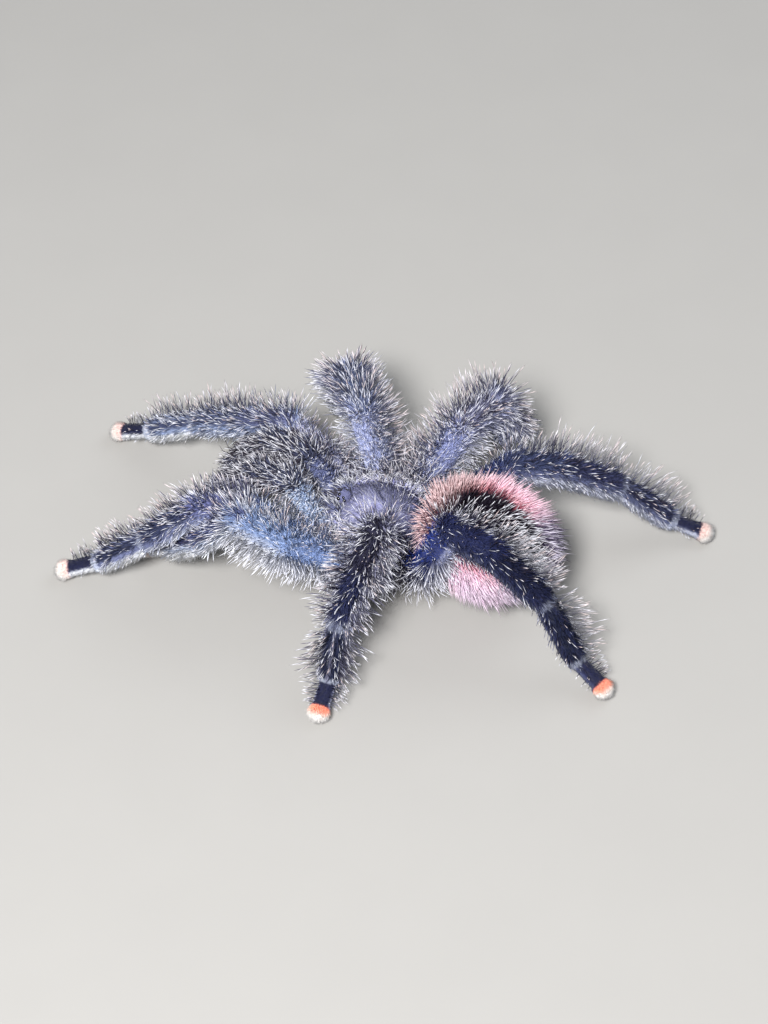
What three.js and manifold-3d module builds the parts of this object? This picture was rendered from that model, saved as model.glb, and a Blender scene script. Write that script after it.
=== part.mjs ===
// Pink toe tarantula, life size, standing on a flat floor with its legs spread.
// Millimetres, +Z up. The spider faces -Y, so its left side is +X. Every solid reaches out to the
// tips of the hairs that grow on it, and the middle of the footprint is at the origin.
import * as THREE from 'three';
import Module from 'manifold-3d';
import { mergeVertices } from 'three/addons/utils/BufferGeometryUtils.js';

const wasm = await Module();
wasm.setup();

// ---------------------------------------------------------------- driving dimensions

const GAP = 0.3;                 // clearance between neighbouring solids
const SMALLEST_EDGE = 0.16;      // finer detail than this is left out of the solids
const LIMB_SIDES = 8;
const BODY_SIDES = 16;
const FLOOR_Z = 0;

// Where each coxa ends and the free leg starts: distance from the midline, place along the body.
const COXA_HEIGHT = 6.7;
const COXA_END = {
  first: [8.2, -7.5],
  second: [9.6, -2.4],
  third: [9.6, 3.0],
  fourth: [8.0, 8.0],
};
const PALP_ROOT = [4.0, -9.5, 7.5];

// Lengths of trochanter, femur, patella, tibia, metatarsus and tarsus.
const LEG_LENGTH = {
  first: [2.2, 14.0, 8.3, 11.2, 9.6, 6.4],
  second: [2.2, 12.8, 7.8, 10.2, 9.0, 6.2],
  third: [2.2, 11.6, 7.0, 9.0, 9.2, 5.9],
  fourth: [2.2, 14.0, 7.6, 11.8, 11.2, 6.3],
};
const PALP_LENGTH = [1.5, 9.8, 6.4, 7.4, 7.4];

// Pose: azimuth of each length out from straight ahead, and its pitch above the floor, in degrees.
const LEG_POSE = [
  { name: 'left_leg_3', side: 1, row: 'third',
    azimuth: [98, 98, 84, 84, 92, 92], pitch: [20, 84, -27, -29, -58, -20] },
  { name: 'left_leg_4', side: 1, row: 'fourth',
    azimuth: [167, 167, 171, 171, 156, 156], pitch: [22, 68, -10, -34, -50, -21] },
  { name: 'left_leg_1', side: 1, row: 'first',
    azimuth: [16, 16, 26, 26, 19, 19], pitch: [-37, 40, 9, -35, -34, -20] },
  { name: 'left_leg_2', side: 1, row: 'second',
    azimuth: [40, 40, 4, 4, -18, -18], pitch: [11, 41, 24, -47, -42, -37] },
  { name: 'right_leg_1', side: -1, row: 'first',
    azimuth: [-5, -5, 7, 7, -3, -3], pitch: [-4, 43, -24, -25, -26, -20] },
  { name: 'right_leg_2', side: -1, row: 'second',
    azimuth: [25, 25, 55, 55, 82, 82], pitch: [21, 70, -5, -46, -78, -14] },
  { name: 'right_leg_3', side: -1, row: 'third',
    azimuth: [132, 132, 124, 124, 74, 74], pitch: [36, 52, 12, -74, -50, -14] },
  { name: 'right_leg_4', side: -1, row: 'fourth',
    azimuth: [167, 167, 157, 157, 170, 170], pitch: [-14, 47, -7, -26, -36, -21] },
];
const PALP_POSE = [
  { name: 'left_palp', side: 1, azimuth: [17, 17, -15, -15, -15], pitch: [12, 69, -15, -40, -52] },
  { name: 'right_palp', side: -1, azimuth: [-28, -28, 17, 17, 17], pitch: [11, 68, -12, -42, -55] },
];

// Half widths to the hair tips, spread evenly from the start to the end of each length.
const LEG_GIRTH = {
  femur: [4.0, 5.6, 6.4],
  patella: [6.4, 6.4],
  tibia: [6.4, 6.3, 5.8],
  metatarsus: [5.6, 4.0],
  tarsus: [2.8, 2.2],
};
const PALP_GIRTH = {
  femur: [3.0, 3.6, 3.8],
  patella: [3.8, 4.1, 4.3],
  tarsus: [4.1, 2.8],
};
const HAIR_ON_TOP = 1.1;         // share of the half width, above the middle of the limb
const HAIR_BELOW = 0.62;         // and below it
const TOE_BELOW = 0.9;

// Rounded ends of a length, as shares of its half width there: how far past the joint the last
// section stands, how wide it is, and how far the end domes beyond it.
const END_STATION = 0.34;
const END_WIDTH = 0.72;
const END_CAP = 0.19;
const FEMUR_ROOT_CAP = 0.2;

// Carapace, from the eyes to its rear edge: place along the body, half width, top height.
const CARAPACE_SECTIONS = [
  [-8.4, 4.6, 9.6],
  [-6.2, 6.2, 11.1],
  [-3.0, 7.4, 11.3],
  [0.6, 8.0, 10.7],
  [4.2, 7.6, 10.0],
  [7.0, 5.6, 9.2],
];
const CARAPACE_FRONT = -9.4;
const CARAPACE_REAR = 8.5;
const CARAPACE_EDGE_Z = 7.6;
const CARAPACE_EDGE_THICKNESS = 0.6;

// Eyes: distance from the midline, forward, up, radius.
const TUBERCLE_CENTRE = [0, -6.9, 10.9];
const TUBERCLE_HALF = [1.5, 1.15, 0.95];
const EYES = [
  [0.45, -0.75, 0.62, 0.38],
  [1.2, -0.7, 0.25, 0.42],
  [0.95, 0.1, 0.58, 0.3],
  [1.3, 0.35, 0.2, 0.34],
];

const STERNUM_HALF = [5.4, 8.2, 1.9];
const STERNUM_CENTRE = [0, 0, 5.6];
const COXA_START_OUT = 2.5;      // where a coxa leaves the sternum, out from the midline
const COXA_START_BACK = 0.55;    // and along the body, as a share of where the coxa ends
const COXA_RADIUS = 2.6;
const COXA_END_RADIUS = 2.47;
const COXA_BELOW = 0.9;
const COXA_CAPS = [0.4, 0.5];

// Axes of the jaws, fangs, waist and spinnerets on the left side, with half widths along them.
const CHELICERA_AXIS = [[2.5, -8.6, 8.3], [2.6, -12.0, 8.2], [2.5, -14.4, 6.2]];
const CHELICERA_GIRTH = [2.2, 2.9, 2.0];
const FANG_AXIS = [[2.2, -14.2, 4.6], [2.1, -14.0, 3.2], [1.8, -12.4, 2.3], [1.5, -10.6, 2.4]];
const FANG_GIRTH = [0.75, 0.62, 0.45, 0.28];
const PEDICEL_AXIS = [[0, 8.2, 7.4], [0.5, 12.2, 8.7]];
const PEDICEL_GIRTH = [1.7, 1.9];
const SPINNERET_AXIS = [[1.3, 28.9, 7.4], [1.9, 31.6, 6.8], [2.4, 33.6, 6.3]];
const SPINNERET_GIRTH = [1.3, 1.3, 0.9];
const BENT_ROOT_CAP = 0.5;       // how far their ends dome, as shares of the half width
const BENT_TIP_CAP = 0.8;

// The hind body, given straight behind the waist and then swung to the left about it.
const WAIST_Y = 9;
const ABDOMEN_SWING = THREE.MathUtils.degToRad(13);
const ABDOMEN_CENTRE = [0, 18.9, 11.7];
const ABDOMEN_HALF = [11.0, 14.2, 11.3];
const ABDOMEN_BELLY_Z = 1.2;

// ---------------------------------------------------------------- shape functions

function vec(x, y, z) {
  return new THREE.Vector3(x, y, z);
}

// A solid through a row of stations. Each station is an egg shaped section set across `along`,
// with its half width `wide`, its reach up `high` and its reach down `deep`.
function loft(stations, sides, grow) {
  const first = stations[0];
  const last = stations[stations.length - 1];
  const rows = stations.length + 1;
  const shape = new THREE.SphereGeometry(1, sides, rows);
  const place = shape.attributes.position;
  const around = sides + 1;
  for (let i = 0; i < place.count; i += 1) {
    const row = Math.floor(i / around);
    if (row === 0 || row === rows) {
      const end = row === 0 ? first : last;
      const sign = row === 0 ? -1 : 1;
      const pole = end.at.clone().addScaledVector(end.along, sign * (end.cap + grow));
      place.setXYZ(i, pole.x, pole.y, pole.z);
    } else {
      const station = stations[row - 1];
      const turn = (i % around) * 2 * Math.PI / sides;
      const across = station.top.clone().cross(station.along);
      const reach = Math.sin(turn) > 0 ? station.high : station.deep;
      const point = station.at.clone();
      point.addScaledVector(across, -Math.cos(turn) * (station.wide + grow));
      point.addScaledVector(station.top, Math.sin(turn) * (reach + grow));
      place.setXYZ(i, point.x, point.y, point.z);
    }
  }
  return toManifold(shape);
}

function toManifold(geometry) {
  geometry.deleteAttribute('normal');
  geometry.deleteAttribute('uv');
  const merged = mergeVertices(geometry, 1e-4);
  return new wasm.Manifold(new wasm.Mesh({
    numProp: 3,
    vertProperties: new Float32Array(merged.attributes.position.array),
    triVerts: new Uint32Array(merged.index.array),
  }));
}

function largestPiece(solid) {
  const parts = solid.decompose();
  return parts.reduce((best, part) => (part.volume() > best.volume() ? part : best));
}

function toGeometry(solid) {
  const mesh = solid.getMesh();
  const geometry = new THREE.BufferGeometry();
  geometry.setAttribute('position', new THREE.BufferAttribute(mesh.vertProperties, 3));
  geometry.setIndex(new THREE.BufferAttribute(mesh.triVerts, 1));
  geometry.computeVertexNormals();
  return geometry;
}

function boxesMeet(a, b) {
  const p = a.boundingBox();
  const q = b.boundingBox();
  return [0, 1, 2].every((k) => p.min[k] < q.max[k] && q.min[k] < p.max[k]);
}

// Direction of one length of a limb, and the direction its back faces.
function limbAxes(side, azimuth, pitch) {
  const a = THREE.MathUtils.degToRad(azimuth);
  const e = THREE.MathUtils.degToRad(pitch);
  return {
    along: vec(side * Math.sin(a) * Math.cos(e), -Math.cos(a) * Math.cos(e), Math.sin(e)),
    top: vec(-side * Math.sin(a) * Math.sin(e), Math.cos(a) * Math.sin(e), Math.cos(e)),
  };
}

// The joints of a limb from its root, with the axes of every length.
function limbJoints(root, side, lengths, azimuth, pitch) {
  const joints = [root];
  const axes = lengths.map((length, i) => {
    const axis = limbAxes(side, azimuth[i], pitch[i]);
    joints.push(joints[i].clone().addScaledVector(axis.along, length));
    return axis;
  });
  return { joints, axes };
}

function limbStation(at, axis, width, below = HAIR_BELOW, cap = 0) {
  return {
    at,
    along: axis.along,
    top: axis.top,
    wide: width,
    high: width * HAIR_ON_TOP,
    deep: width * below,
    cap,
  };
}

// Stations of one length of a limb between two joints, rounded over past both of them.
function lengthStations(from, to, axis, girth, below = HAIR_BELOW) {
  const start = girth[0];
  const end = girth.at(-1);
  const before = from.clone().addScaledVector(axis.along, -END_STATION * start);
  const beyond = to.clone().addScaledVector(axis.along, END_STATION * end);
  const between = girth.map((width, i) => (
    limbStation(from.clone().lerp(to, i / (girth.length - 1)), axis, width, below)
  ));
  return [
    limbStation(before, axis, start * END_WIDTH, below, END_CAP * start),
    ...between,
    limbStation(beyond, axis, end * END_WIDTH, below, END_CAP * end),
  ];
}

// The axes halfway between those of two neighbouring lengths.
function halfwayAxis(a, b) {
  return {
    along: a.along.clone().add(b.along).normalize(),
    top: a.top.clone().add(b.top).normalize(),
  };
}

// The femur carries the short trochanter at its root.
function femurStations(joints, axes, girth) {
  const [start, middle, end] = girth;
  const beyond = joints[2].clone().addScaledVector(axes[1].along, END_STATION * end);
  return [
    limbStation(joints[0], axes[0], start * END_WIDTH, HAIR_BELOW, FEMUR_ROOT_CAP),
    limbStation(joints[1], halfwayAxis(axes[0], axes[1]), start, HAIR_BELOW),
    limbStation(joints[1].clone().lerp(joints[2], 0.5), axes[1], middle, HAIR_BELOW),
    limbStation(joints[2], axes[1], end, HAIR_BELOW),
    limbStation(beyond, axes[1], end * END_WIDTH, HAIR_BELOW, END_CAP * end),
  ];
}

// ---------------------------------------------------------------- pieces

const pieces = [];

// Adds a piece that gives way to every piece added before it.
function addPiece(name, look, makeSolid, lowestZ = FLOOR_Z) {
  const whole = makeSolid(0);
  let body = whole.trimByPlane([0, 0, 1], lowestZ);
  for (const other of pieces) {
    if (boxesMeet(body, other.clear)) {
      body = body.subtract(other.clear);
    }
  }
  body = largestPiece(largestPiece(body).simplify(SMALLEST_EDGE));
  pieces.push({ name, look, body, clear: makeSolid(GAP).add(whole) });
}

const LOOKS = {
  carapace: { color: 0x8d8fb8, roughness: 0.6, metalness: 0.1 },
  underside: { color: 0x26232c, roughness: 0.85, metalness: 0 },
  eyes: { color: 0x15120f, roughness: 0.15, metalness: 0 },
  fang: { color: 0x120c0b, roughness: 0.25, metalness: 0 },
  chelicera: { color: 0x4a4d66, roughness: 0.8, metalness: 0 },
  abdomen: { color: 0xb37f83, roughness: 0.9, metalness: 0 },
  spinneret: { color: 0x4b4048, roughness: 0.85, metalness: 0 },
  femur: { color: 0x5661a3, roughness: 0.75, metalness: 0.05 },
  patella: { color: 0x4d5380, roughness: 0.8, metalness: 0 },
  tibia: { color: 0x474c70, roughness: 0.8, metalness: 0 },
  metatarsus: { color: 0x3f4360, roughness: 0.8, metalness: 0 },
  tarsus: { color: 0x2b2b38, roughness: 0.85, metalness: 0 },
};

// Carapace: a low shield over the front body, highest behind the eyes.
function carapaceSolid(grow) {
  const stations = CARAPACE_SECTIONS.map(([y, halfWidth, topZ]) => ({
    at: vec(0, y, CARAPACE_EDGE_Z),
    along: vec(0, 1, 0),
    top: vec(0, 0, 1),
    wide: halfWidth,
    high: topZ - CARAPACE_EDGE_Z,
    deep: CARAPACE_EDGE_THICKNESS,
    cap: 0,
  }));
  stations[0].cap = CARAPACE_SECTIONS[0][0] - CARAPACE_FRONT;
  stations.at(-1).cap = CARAPACE_REAR - CARAPACE_SECTIONS.at(-1)[0];
  return loft(stations, BODY_SIDES, grow);
}
addPiece('carapace', LOOKS.carapace, carapaceSolid);

// Eye tubercle: a small mound near the front of the carapace that carries all eight eyes.
function eyeSolid(grow) {
  const [x, y, z] = TUBERCLE_CENTRE;
  const [halfX, halfY, halfZ] = TUBERCLE_HALF;
  const mound = new THREE.SphereGeometry(1, 8, 5);
  mound.rotateX(Math.PI / 2);
  mound.scale(halfX + grow, halfY + grow, halfZ + grow);
  mound.translate(x, y, z);
  let solid = toManifold(mound);
  for (const [out, forward, up, radius] of EYES) {
    for (const side of [-1, 1]) {
      const eye = new THREE.SphereGeometry(radius + grow, 5, 4);
      eye.translate(x + side * out, y + forward, z + up);
      solid = solid.add(toManifold(eye));
    }
  }
  return solid;
}
addPiece('eye_tubercle', LOOKS.eyes, eyeSolid);

// Underside of the front body: the sternum with the ten coxae that ring it.
function prosomaSolid(grow) {
  const shield = new THREE.SphereGeometry(1, 10, 5);
  shield.rotateX(Math.PI / 2);
  shield.scale(STERNUM_HALF[0] + grow, STERNUM_HALF[1] + grow, STERNUM_HALF[2] + grow);
  shield.translate(...STERNUM_CENTRE);
  let solid = toManifold(shield);
  for (const side of [-1, 1]) {
    for (const [out, back] of Object.values(COXA_END)) {
      const end = vec(side * out, back, COXA_HEIGHT);
      const start = vec(side * COXA_START_OUT, back * COXA_START_BACK, STERNUM_CENTRE[2]);
      const along = end.clone().sub(start).normalize();
      const axis = { along, top: vec(0, 0, 1) };
      solid = solid.add(loft([
        limbStation(start, axis, COXA_RADIUS, COXA_BELOW, COXA_CAPS[0]),
        limbStation(end, axis, COXA_END_RADIUS, COXA_BELOW, COXA_CAPS[1]),
      ], 6, grow));
    }
  }
  return solid;
}
addPiece('prosoma_underside', LOOKS.underside, prosomaSolid);

// Chelicerae: the two stout jaws side by side below the eyes, with a folded fang under each.
function bentSolid(side, axis, girth, grow, sides) {
  const points = axis.map(([x, y, z]) => vec(side * x, y, z));
  const stations = points.map((at, i) => {
    const along = points[Math.min(i + 1, points.length - 1)].clone()
      .sub(points[Math.max(i - 1, 0)]).normalize();
    const top = along.clone().cross(vec(1, 0, 0)).multiplyScalar(-1).normalize();
    return { at, along, top, wide: girth[i], high: girth[i], deep: girth[i], cap: 0 };
  });
  stations[0].cap = girth[0] * BENT_ROOT_CAP;
  stations.at(-1).cap = girth.at(-1) * BENT_TIP_CAP;
  return loft(stations, sides, grow);
}
for (const [name, side] of [['left', 1], ['right', -1]]) {
  addPiece(`${name}_fang`, LOOKS.fang, (grow) => bentSolid(side, FANG_AXIS, FANG_GIRTH, grow, 8));
  addPiece(`${name}_chelicera`, LOOKS.chelicera,
    (grow) => bentSolid(side, CHELICERA_AXIS, CHELICERA_GIRTH, grow, 12));
}

// Legs: femur with trochanter, patella, tibia, metatarsus and tarsus, from the body outwards.
const LEG_PARTS = ['femur', 'patella', 'tibia', 'metatarsus', 'tarsus'];
function addLeg(leg) {
  const [out, back] = COXA_END[leg.row];
  const root = vec(leg.side * out, back, COXA_HEIGHT);
  const lengths = LEG_LENGTH[leg.row];
  const { joints, axes } = limbJoints(root, leg.side, lengths, leg.azimuth, leg.pitch);
  LEG_PARTS.forEach((part, i) => {
    const below = part === 'tarsus' ? TOE_BELOW : HAIR_BELOW;
    const stations = part === 'femur'
      ? femurStations(joints, axes, LEG_GIRTH.femur)
      : lengthStations(joints[i + 1], joints[i + 2], axes[i + 1], LEG_GIRTH[part], below);
    addPiece(`${leg.name}_${part}`, LOOKS[part], (grow) => loft(stations, LIMB_SIDES, grow));
  });
}
LEG_POSE.forEach(addLeg);

// Palps: the two short feelers beside the jaws. Patella and tibia are one solid.
function addPalp(palp) {
  const root = vec(palp.side * PALP_ROOT[0], PALP_ROOT[1], PALP_ROOT[2]);
  const { joints, axes } = limbJoints(root, palp.side, PALP_LENGTH, palp.azimuth, palp.pitch);
  const upper = femurStations(joints, axes, PALP_GIRTH.femur);
  addPiece(`${palp.name}_femur`, LOOKS.femur, (grow) => loft(upper, LIMB_SIDES, grow));
  const [start, middle, end] = PALP_GIRTH.patella;
  const bent = lengthStations(joints[2], joints[4], axes[2], PALP_GIRTH.patella);
  bent[1] = limbStation(joints[2], axes[2], start);
  bent[2] = limbStation(joints[3], axes[2], middle);
  bent[3] = limbStation(joints[4], axes[3], end);
  bent[4] = limbStation(joints[4].clone().addScaledVector(axes[3].along, END_STATION * end),
    axes[3], end * END_WIDTH, HAIR_BELOW, END_CAP * end);
  addPiece(`${palp.name}_tibia`, LOOKS.tibia, (grow) => loft(bent, LIMB_SIDES, grow));
  const tip = lengthStations(joints[4], joints[5], axes[4], PALP_GIRTH.tarsus);
  addPiece(`${palp.name}_tarsus`, LOOKS.tarsus, (grow) => loft(tip, LIMB_SIDES, grow));
}
PALP_POSE.forEach(addPalp);

// Pedicel: the narrow waist between the front body and the abdomen.
function pedicelSolid(grow) {
  return bentSolid(1, PEDICEL_AXIS, PEDICEL_GIRTH, grow, 10);
}
addPiece('pedicel', LOOKS.underside, pedicelSolid);

// Where a place of the hind body comes to lie once it is swung about the waist.
function swung(x, y, z) {
  const back = y - WAIST_Y;
  return [
    x * Math.cos(ABDOMEN_SWING) + back * Math.sin(ABDOMEN_SWING),
    WAIST_Y + back * Math.cos(ABDOMEN_SWING) - x * Math.sin(ABDOMEN_SWING),
    z,
  ];
}

// Spinnerets: a pair of short fingers below the rear end of the abdomen.
for (const [name, side] of [['left', 1], ['right', -1]]) {
  const axis = SPINNERET_AXIS.map(([x, y, z]) => swung(side * x, y, z));
  addPiece(`${name}_spinneret`, LOOKS.spinneret,
    (grow) => bentSolid(1, axis, SPINNERET_GIRTH, grow, 8));
}

// Abdomen: the egg shaped hind body out to the tips of its long hair.
function abdomenSolid(grow) {
  const shape = new THREE.SphereGeometry(1, 14, 9);
  shape.rotateX(Math.PI / 2);
  shape.scale(ABDOMEN_HALF[0] + grow, ABDOMEN_HALF[1] + grow, ABDOMEN_HALF[2] + grow);
  shape.rotateZ(-ABDOMEN_SWING);
  shape.translate(...swung(...ABDOMEN_CENTRE));
  return toManifold(shape);
}
addPiece('abdomen', LOOKS.abdomen, abdomenSolid, ABDOMEN_BELLY_Z);

// ---------------------------------------------------------------- assembly

const tarantula = new THREE.Group();
for (const piece of pieces) {
  const material = new THREE.MeshStandardMaterial(piece.look);
  const mesh = new THREE.Mesh(toGeometry(piece.body), material);
  mesh.name = piece.name;
  tarantula.add(mesh);
}
const footprint = new THREE.Box3().setFromObject(tarantula);
const middle = footprint.getCenter(new THREE.Vector3());
tarantula.position.set(-middle.x, -middle.y, -footprint.min.z);
tarantula.updateMatrixWorld(true);

export default tarantula;
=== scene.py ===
import math
import bpy
import numpy as np
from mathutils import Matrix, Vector


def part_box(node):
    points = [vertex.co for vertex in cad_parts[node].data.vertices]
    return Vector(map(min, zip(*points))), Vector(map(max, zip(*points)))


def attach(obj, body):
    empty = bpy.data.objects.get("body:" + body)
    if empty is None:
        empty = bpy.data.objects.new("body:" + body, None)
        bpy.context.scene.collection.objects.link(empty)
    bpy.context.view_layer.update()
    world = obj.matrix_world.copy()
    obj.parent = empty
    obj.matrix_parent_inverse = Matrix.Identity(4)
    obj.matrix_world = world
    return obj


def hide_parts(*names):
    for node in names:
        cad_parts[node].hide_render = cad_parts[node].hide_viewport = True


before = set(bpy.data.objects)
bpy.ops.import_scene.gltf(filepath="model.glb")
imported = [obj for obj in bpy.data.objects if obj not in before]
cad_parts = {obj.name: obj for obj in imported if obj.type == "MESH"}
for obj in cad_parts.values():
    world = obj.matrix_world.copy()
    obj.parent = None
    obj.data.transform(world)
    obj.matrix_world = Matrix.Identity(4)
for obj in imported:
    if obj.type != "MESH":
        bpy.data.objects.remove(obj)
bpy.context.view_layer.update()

# Flesh. The soft body of the spider under its coat: eight legs, two palps, the jaws, the waist, the
# spinnerets and the abdomen, all one unbroken velvety skin. Each length of a limb is a rounded rod in
# the stance, and the rods and body forms are fused into a single surface and smoothed.
MM = 0.001
CARAPACE_MIDDLE_Y = -0.45
carapace_low, carapace_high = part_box("carapace")
FOOTPRINT_SHIFT = np.array([
    (carapace_low[0] + carapace_high[0]) / 2 / MM,
    (carapace_low[1] + carapace_high[1]) / 2 / MM - CARAPACE_MIDDLE_Y,
    0.0,
])

COXA_HEIGHT = 6.7
COXA_ENDS = {1: (8.2, -7.5), 2: (9.6, -2.4), 3: (9.6, 3.0), 4: (8.0, 8.0)}
LEG_LENGTHS = {
    1: [2.2, 14.0, 8.3, 11.2, 9.6, 6.4],
    2: [2.2, 12.8, 7.8, 10.2, 9.0, 6.2],
    3: [2.2, 11.6, 7.0, 9.0, 9.2, 5.9],
    4: [2.2, 14.0, 7.6, 11.8, 11.2, 6.3],
}
# The stance: each length's azimuth from straight ahead to its own side, and its pitch, in degrees.
LEG_STANCE = {
    "left_leg_1": ([16, 16, 26, 26, 19, 19], [-37, 40, 9, -35, -34, -20]),
    "left_leg_2": ([40, 40, 4, 4, -18, -18], [11, 41, 24, -47, -42, -37]),
    "left_leg_3": ([98, 98, 84, 84, 92, 92], [20, 84, -27, -29, -58, -20]),
    "left_leg_4": ([167, 167, 171, 171, 156, 156], [22, 68, -10, -34, -50, -21]),
    "right_leg_1": ([-5, -5, 7, 7, -3, -3], [-4, 43, -24, -25, -26, -20]),
    "right_leg_2": ([25, 25, 55, 55, 82, 82], [21, 70, -5, -46, -78, -14]),
    "right_leg_3": ([132, 132, 124, 124, 74, 74], [36, 52, 12, -74, -50, -14]),
    "right_leg_4": ([167, 167, 157, 157, 170, 170], [-14, 47, -7, -26, -36, -21]),
}
LEG_BONES = ["trochanter", "femur", "patella", "tibia", "metatarsus", "tarsus"]
LEG_FLESH = [(2.2, 2.2), (2.2, 2.35), (2.35, 2.3), (2.3, 2.05), (1.95, 1.8), (1.4, 1.45)]
TARSUS_FLATNESS = 0.78
LIMB_FLATNESS = 0.95
PALP_ROOT = (4.0, -9.5, 7.5)
PALP_LENGTHS = [1.5, 9.8, 6.4, 7.4, 7.4]
PALP_STANCE = {
    "left_palp": ([17, 17, -15, -15, -15], [12, 69, -15, -40, -52]),
    "right_palp": ([-28, -28, 17, 17, 17], [11, 68, -12, -42, -55]),
}
PALP_BONES = ["trochanter", "femur", "patella", "tibia", "tarsus"]
PALP_FLESH = [(1.5, 1.6), (1.6, 1.8), (1.85, 1.85), (1.85, 1.8), (1.7, 1.5)]


def limb_rods(side, root, names, lengths, stance, flesh):
    """The rods of one limb from its root outwards, each with its own axes: along, back and across."""
    rods = []
    start = np.array(root, float)
    run = 0.0
    for name, length, azimuth, pitch, (thick, thin) in zip(names, lengths, *stance, flesh):
        a, e = math.radians(azimuth), math.radians(pitch)
        along = np.array([side * math.sin(a) * math.cos(e), -math.cos(a) * math.cos(e), math.sin(e)])
        back = np.array([-side * math.sin(a) * math.sin(e), math.cos(a) * math.sin(e), math.cos(e)])
        rods.append({
            "name": name, "start": start, "along": along, "back": back,
            "across": np.cross(back, along), "length": length, "r0": thick, "r1": thin, "run": run,
            "flat": TARSUS_FLATNESS if name == "tarsus" else LIMB_FLATNESS,
        })
        start = start + along * length
        run += length
    return rods


SIDES = {"left": 1, "right": -1}
LIMBS = {}
for name, stance in LEG_STANCE.items():
    side, row = SIDES[name.split("_")[0]], int(name[-1])
    root = (side * COXA_ENDS[row][0], COXA_ENDS[row][1], COXA_HEIGHT)
    LIMBS[name] = limb_rods(side, root, LEG_BONES, LEG_LENGTHS[row], stance, LEG_FLESH)
for name, stance in PALP_STANCE.items():
    side = SIDES[name.split("_")[0]]
    root = (side * PALP_ROOT[0], PALP_ROOT[1], PALP_ROOT[2])
    LIMBS[name] = limb_rods(side, root, PALP_BONES, PALP_LENGTHS, stance, PALP_FLESH)

UP = np.array([0.0, 0.0, 1.0])
REARWARD = np.array([0.0, 1.0, 0.0])
WAIST = np.array([0.0, 9.0, 0.0])
ABDOMEN_SWING = math.radians(13)
SWUNG = np.array([[math.cos(ABDOMEN_SWING), math.sin(ABDOMEN_SWING), 0],
                  [-math.sin(ABDOMEN_SWING), math.cos(ABDOMEN_SWING), 0], [0, 0, 1]])
ABDOMEN_MIDDLE = np.array([0.0, 18.6, 11.6])
ABDOMEN_HALF = np.array([6.4, 9.3, 6.6])
PROSOMA_MIDDLE = np.array([0.0, -0.3, 6.5])
PROSOMA_HALF = np.array([6.6, 8.4, 2.5])
JAW_POINTS = [(2.3, -8.0, 8.3), (2.35, -12.0, 8.1), (2.2, -14.0, 6.2)]
JAW_FLESH = [2.0, 2.35, 1.5]
SPINNERET_POINTS = [(1.2, 25.4, 8.0), (1.6, 28.6, 7.2), (2.0, 30.2, 6.8)]
SPINNERET_FLESH = [0.9, 0.75, 0.45]
COXA_INNER = (2.5, 0.55, 5.9)
COXA_FLESH = [2.1, 2.2]
PALP_SOCKET = [(1.5, -7.0, 6.6), PALP_ROOT]
PALP_SOCKET_FLESH = [1.7, 1.6]
PEDICEL = [(0.0, 7.2, 7.2), (0.4, 12.0, 8.8)]
PEDICEL_FLESH = [1.6, 1.8]


def swung(points):
    """Where places of the hind body come to lie once it is swung to the left about the waist."""
    return (np.asarray(points) - WAIST) @ SWUNG.T + WAIST


def unswung(points):
    return (points - WAIST) @ SWUNG + WAIST


def unit(ways):
    """The same ways, each one millimetre long."""
    return ways / np.linalg.norm(ways, axis=-1, keepdims=True)


def add_piece(name, data):
    piece = bpy.data.objects.new(name, data)
    bpy.context.scene.collection.objects.link(piece)
    return piece


def mesh_object(name, points, polygons, smooth=True):
    """A mesh piece from points in millimetres in the spider's own frame."""
    mesh = bpy.data.meshes.new(name)
    place = (np.asarray(points) + FOOTPRINT_SHIFT) * MM
    mesh.from_pydata(place.tolist(), [], [tuple(int(i) for i in face) for face in polygons])
    mesh.polygons.foreach_set("use_smooth", [smooth] * len(mesh.polygons))
    mesh.update()
    return add_piece(name, mesh)


def join_forms(forms):
    """Several forms, each of points and faces, as one."""
    points, faces = [], []
    for form_points, form_faces in forms:
        first = len(points)
        points.extend(form_points)
        faces.extend([tuple(i + first for i in face) for face in form_faces])
    return points, faces


def tube_faces(rings, sides):
    """Walls between neighbouring rings of points, and a flat face over each end."""
    faces = []
    for ring in range(rings - 1):
        for k in range(sides):
            a, b = ring * sides + k, ring * sides + (k + 1) % sides
            faces.append((a, b, b + sides, a + sides))
    faces.append(tuple(reversed(range(sides))))
    faces.append(tuple((rings - 1) * sides + k for k in range(sides)))
    return faces


def rod_form(rod, sides=16):
    """A rod with round ends, closed: points and faces."""
    start, along, thick, thin = rod["start"], rod["along"], rod["r0"], rod["r1"]
    end = start + along * rod["length"]
    across = unit(np.cross(rod["back"], along))
    up = np.cross(along, across)
    arc = np.linspace(0, math.pi / 2, 5)
    rings = [(start - along * thick * math.cos(t), thick * math.sin(t)) for t in arc]
    rings += [(end + along * thin * math.sin(t), thin * math.cos(t)) for t in arc]
    points = []
    for centre, radius in rings:
        for turn in np.linspace(0, 2 * math.pi, sides, endpoint=False):
            points.append(centre + max(radius, 0.02) * (
                math.cos(turn) * across + rod["flat"] * math.sin(turn) * up))
    return points, tube_faces(len(rings), sides)


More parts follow.
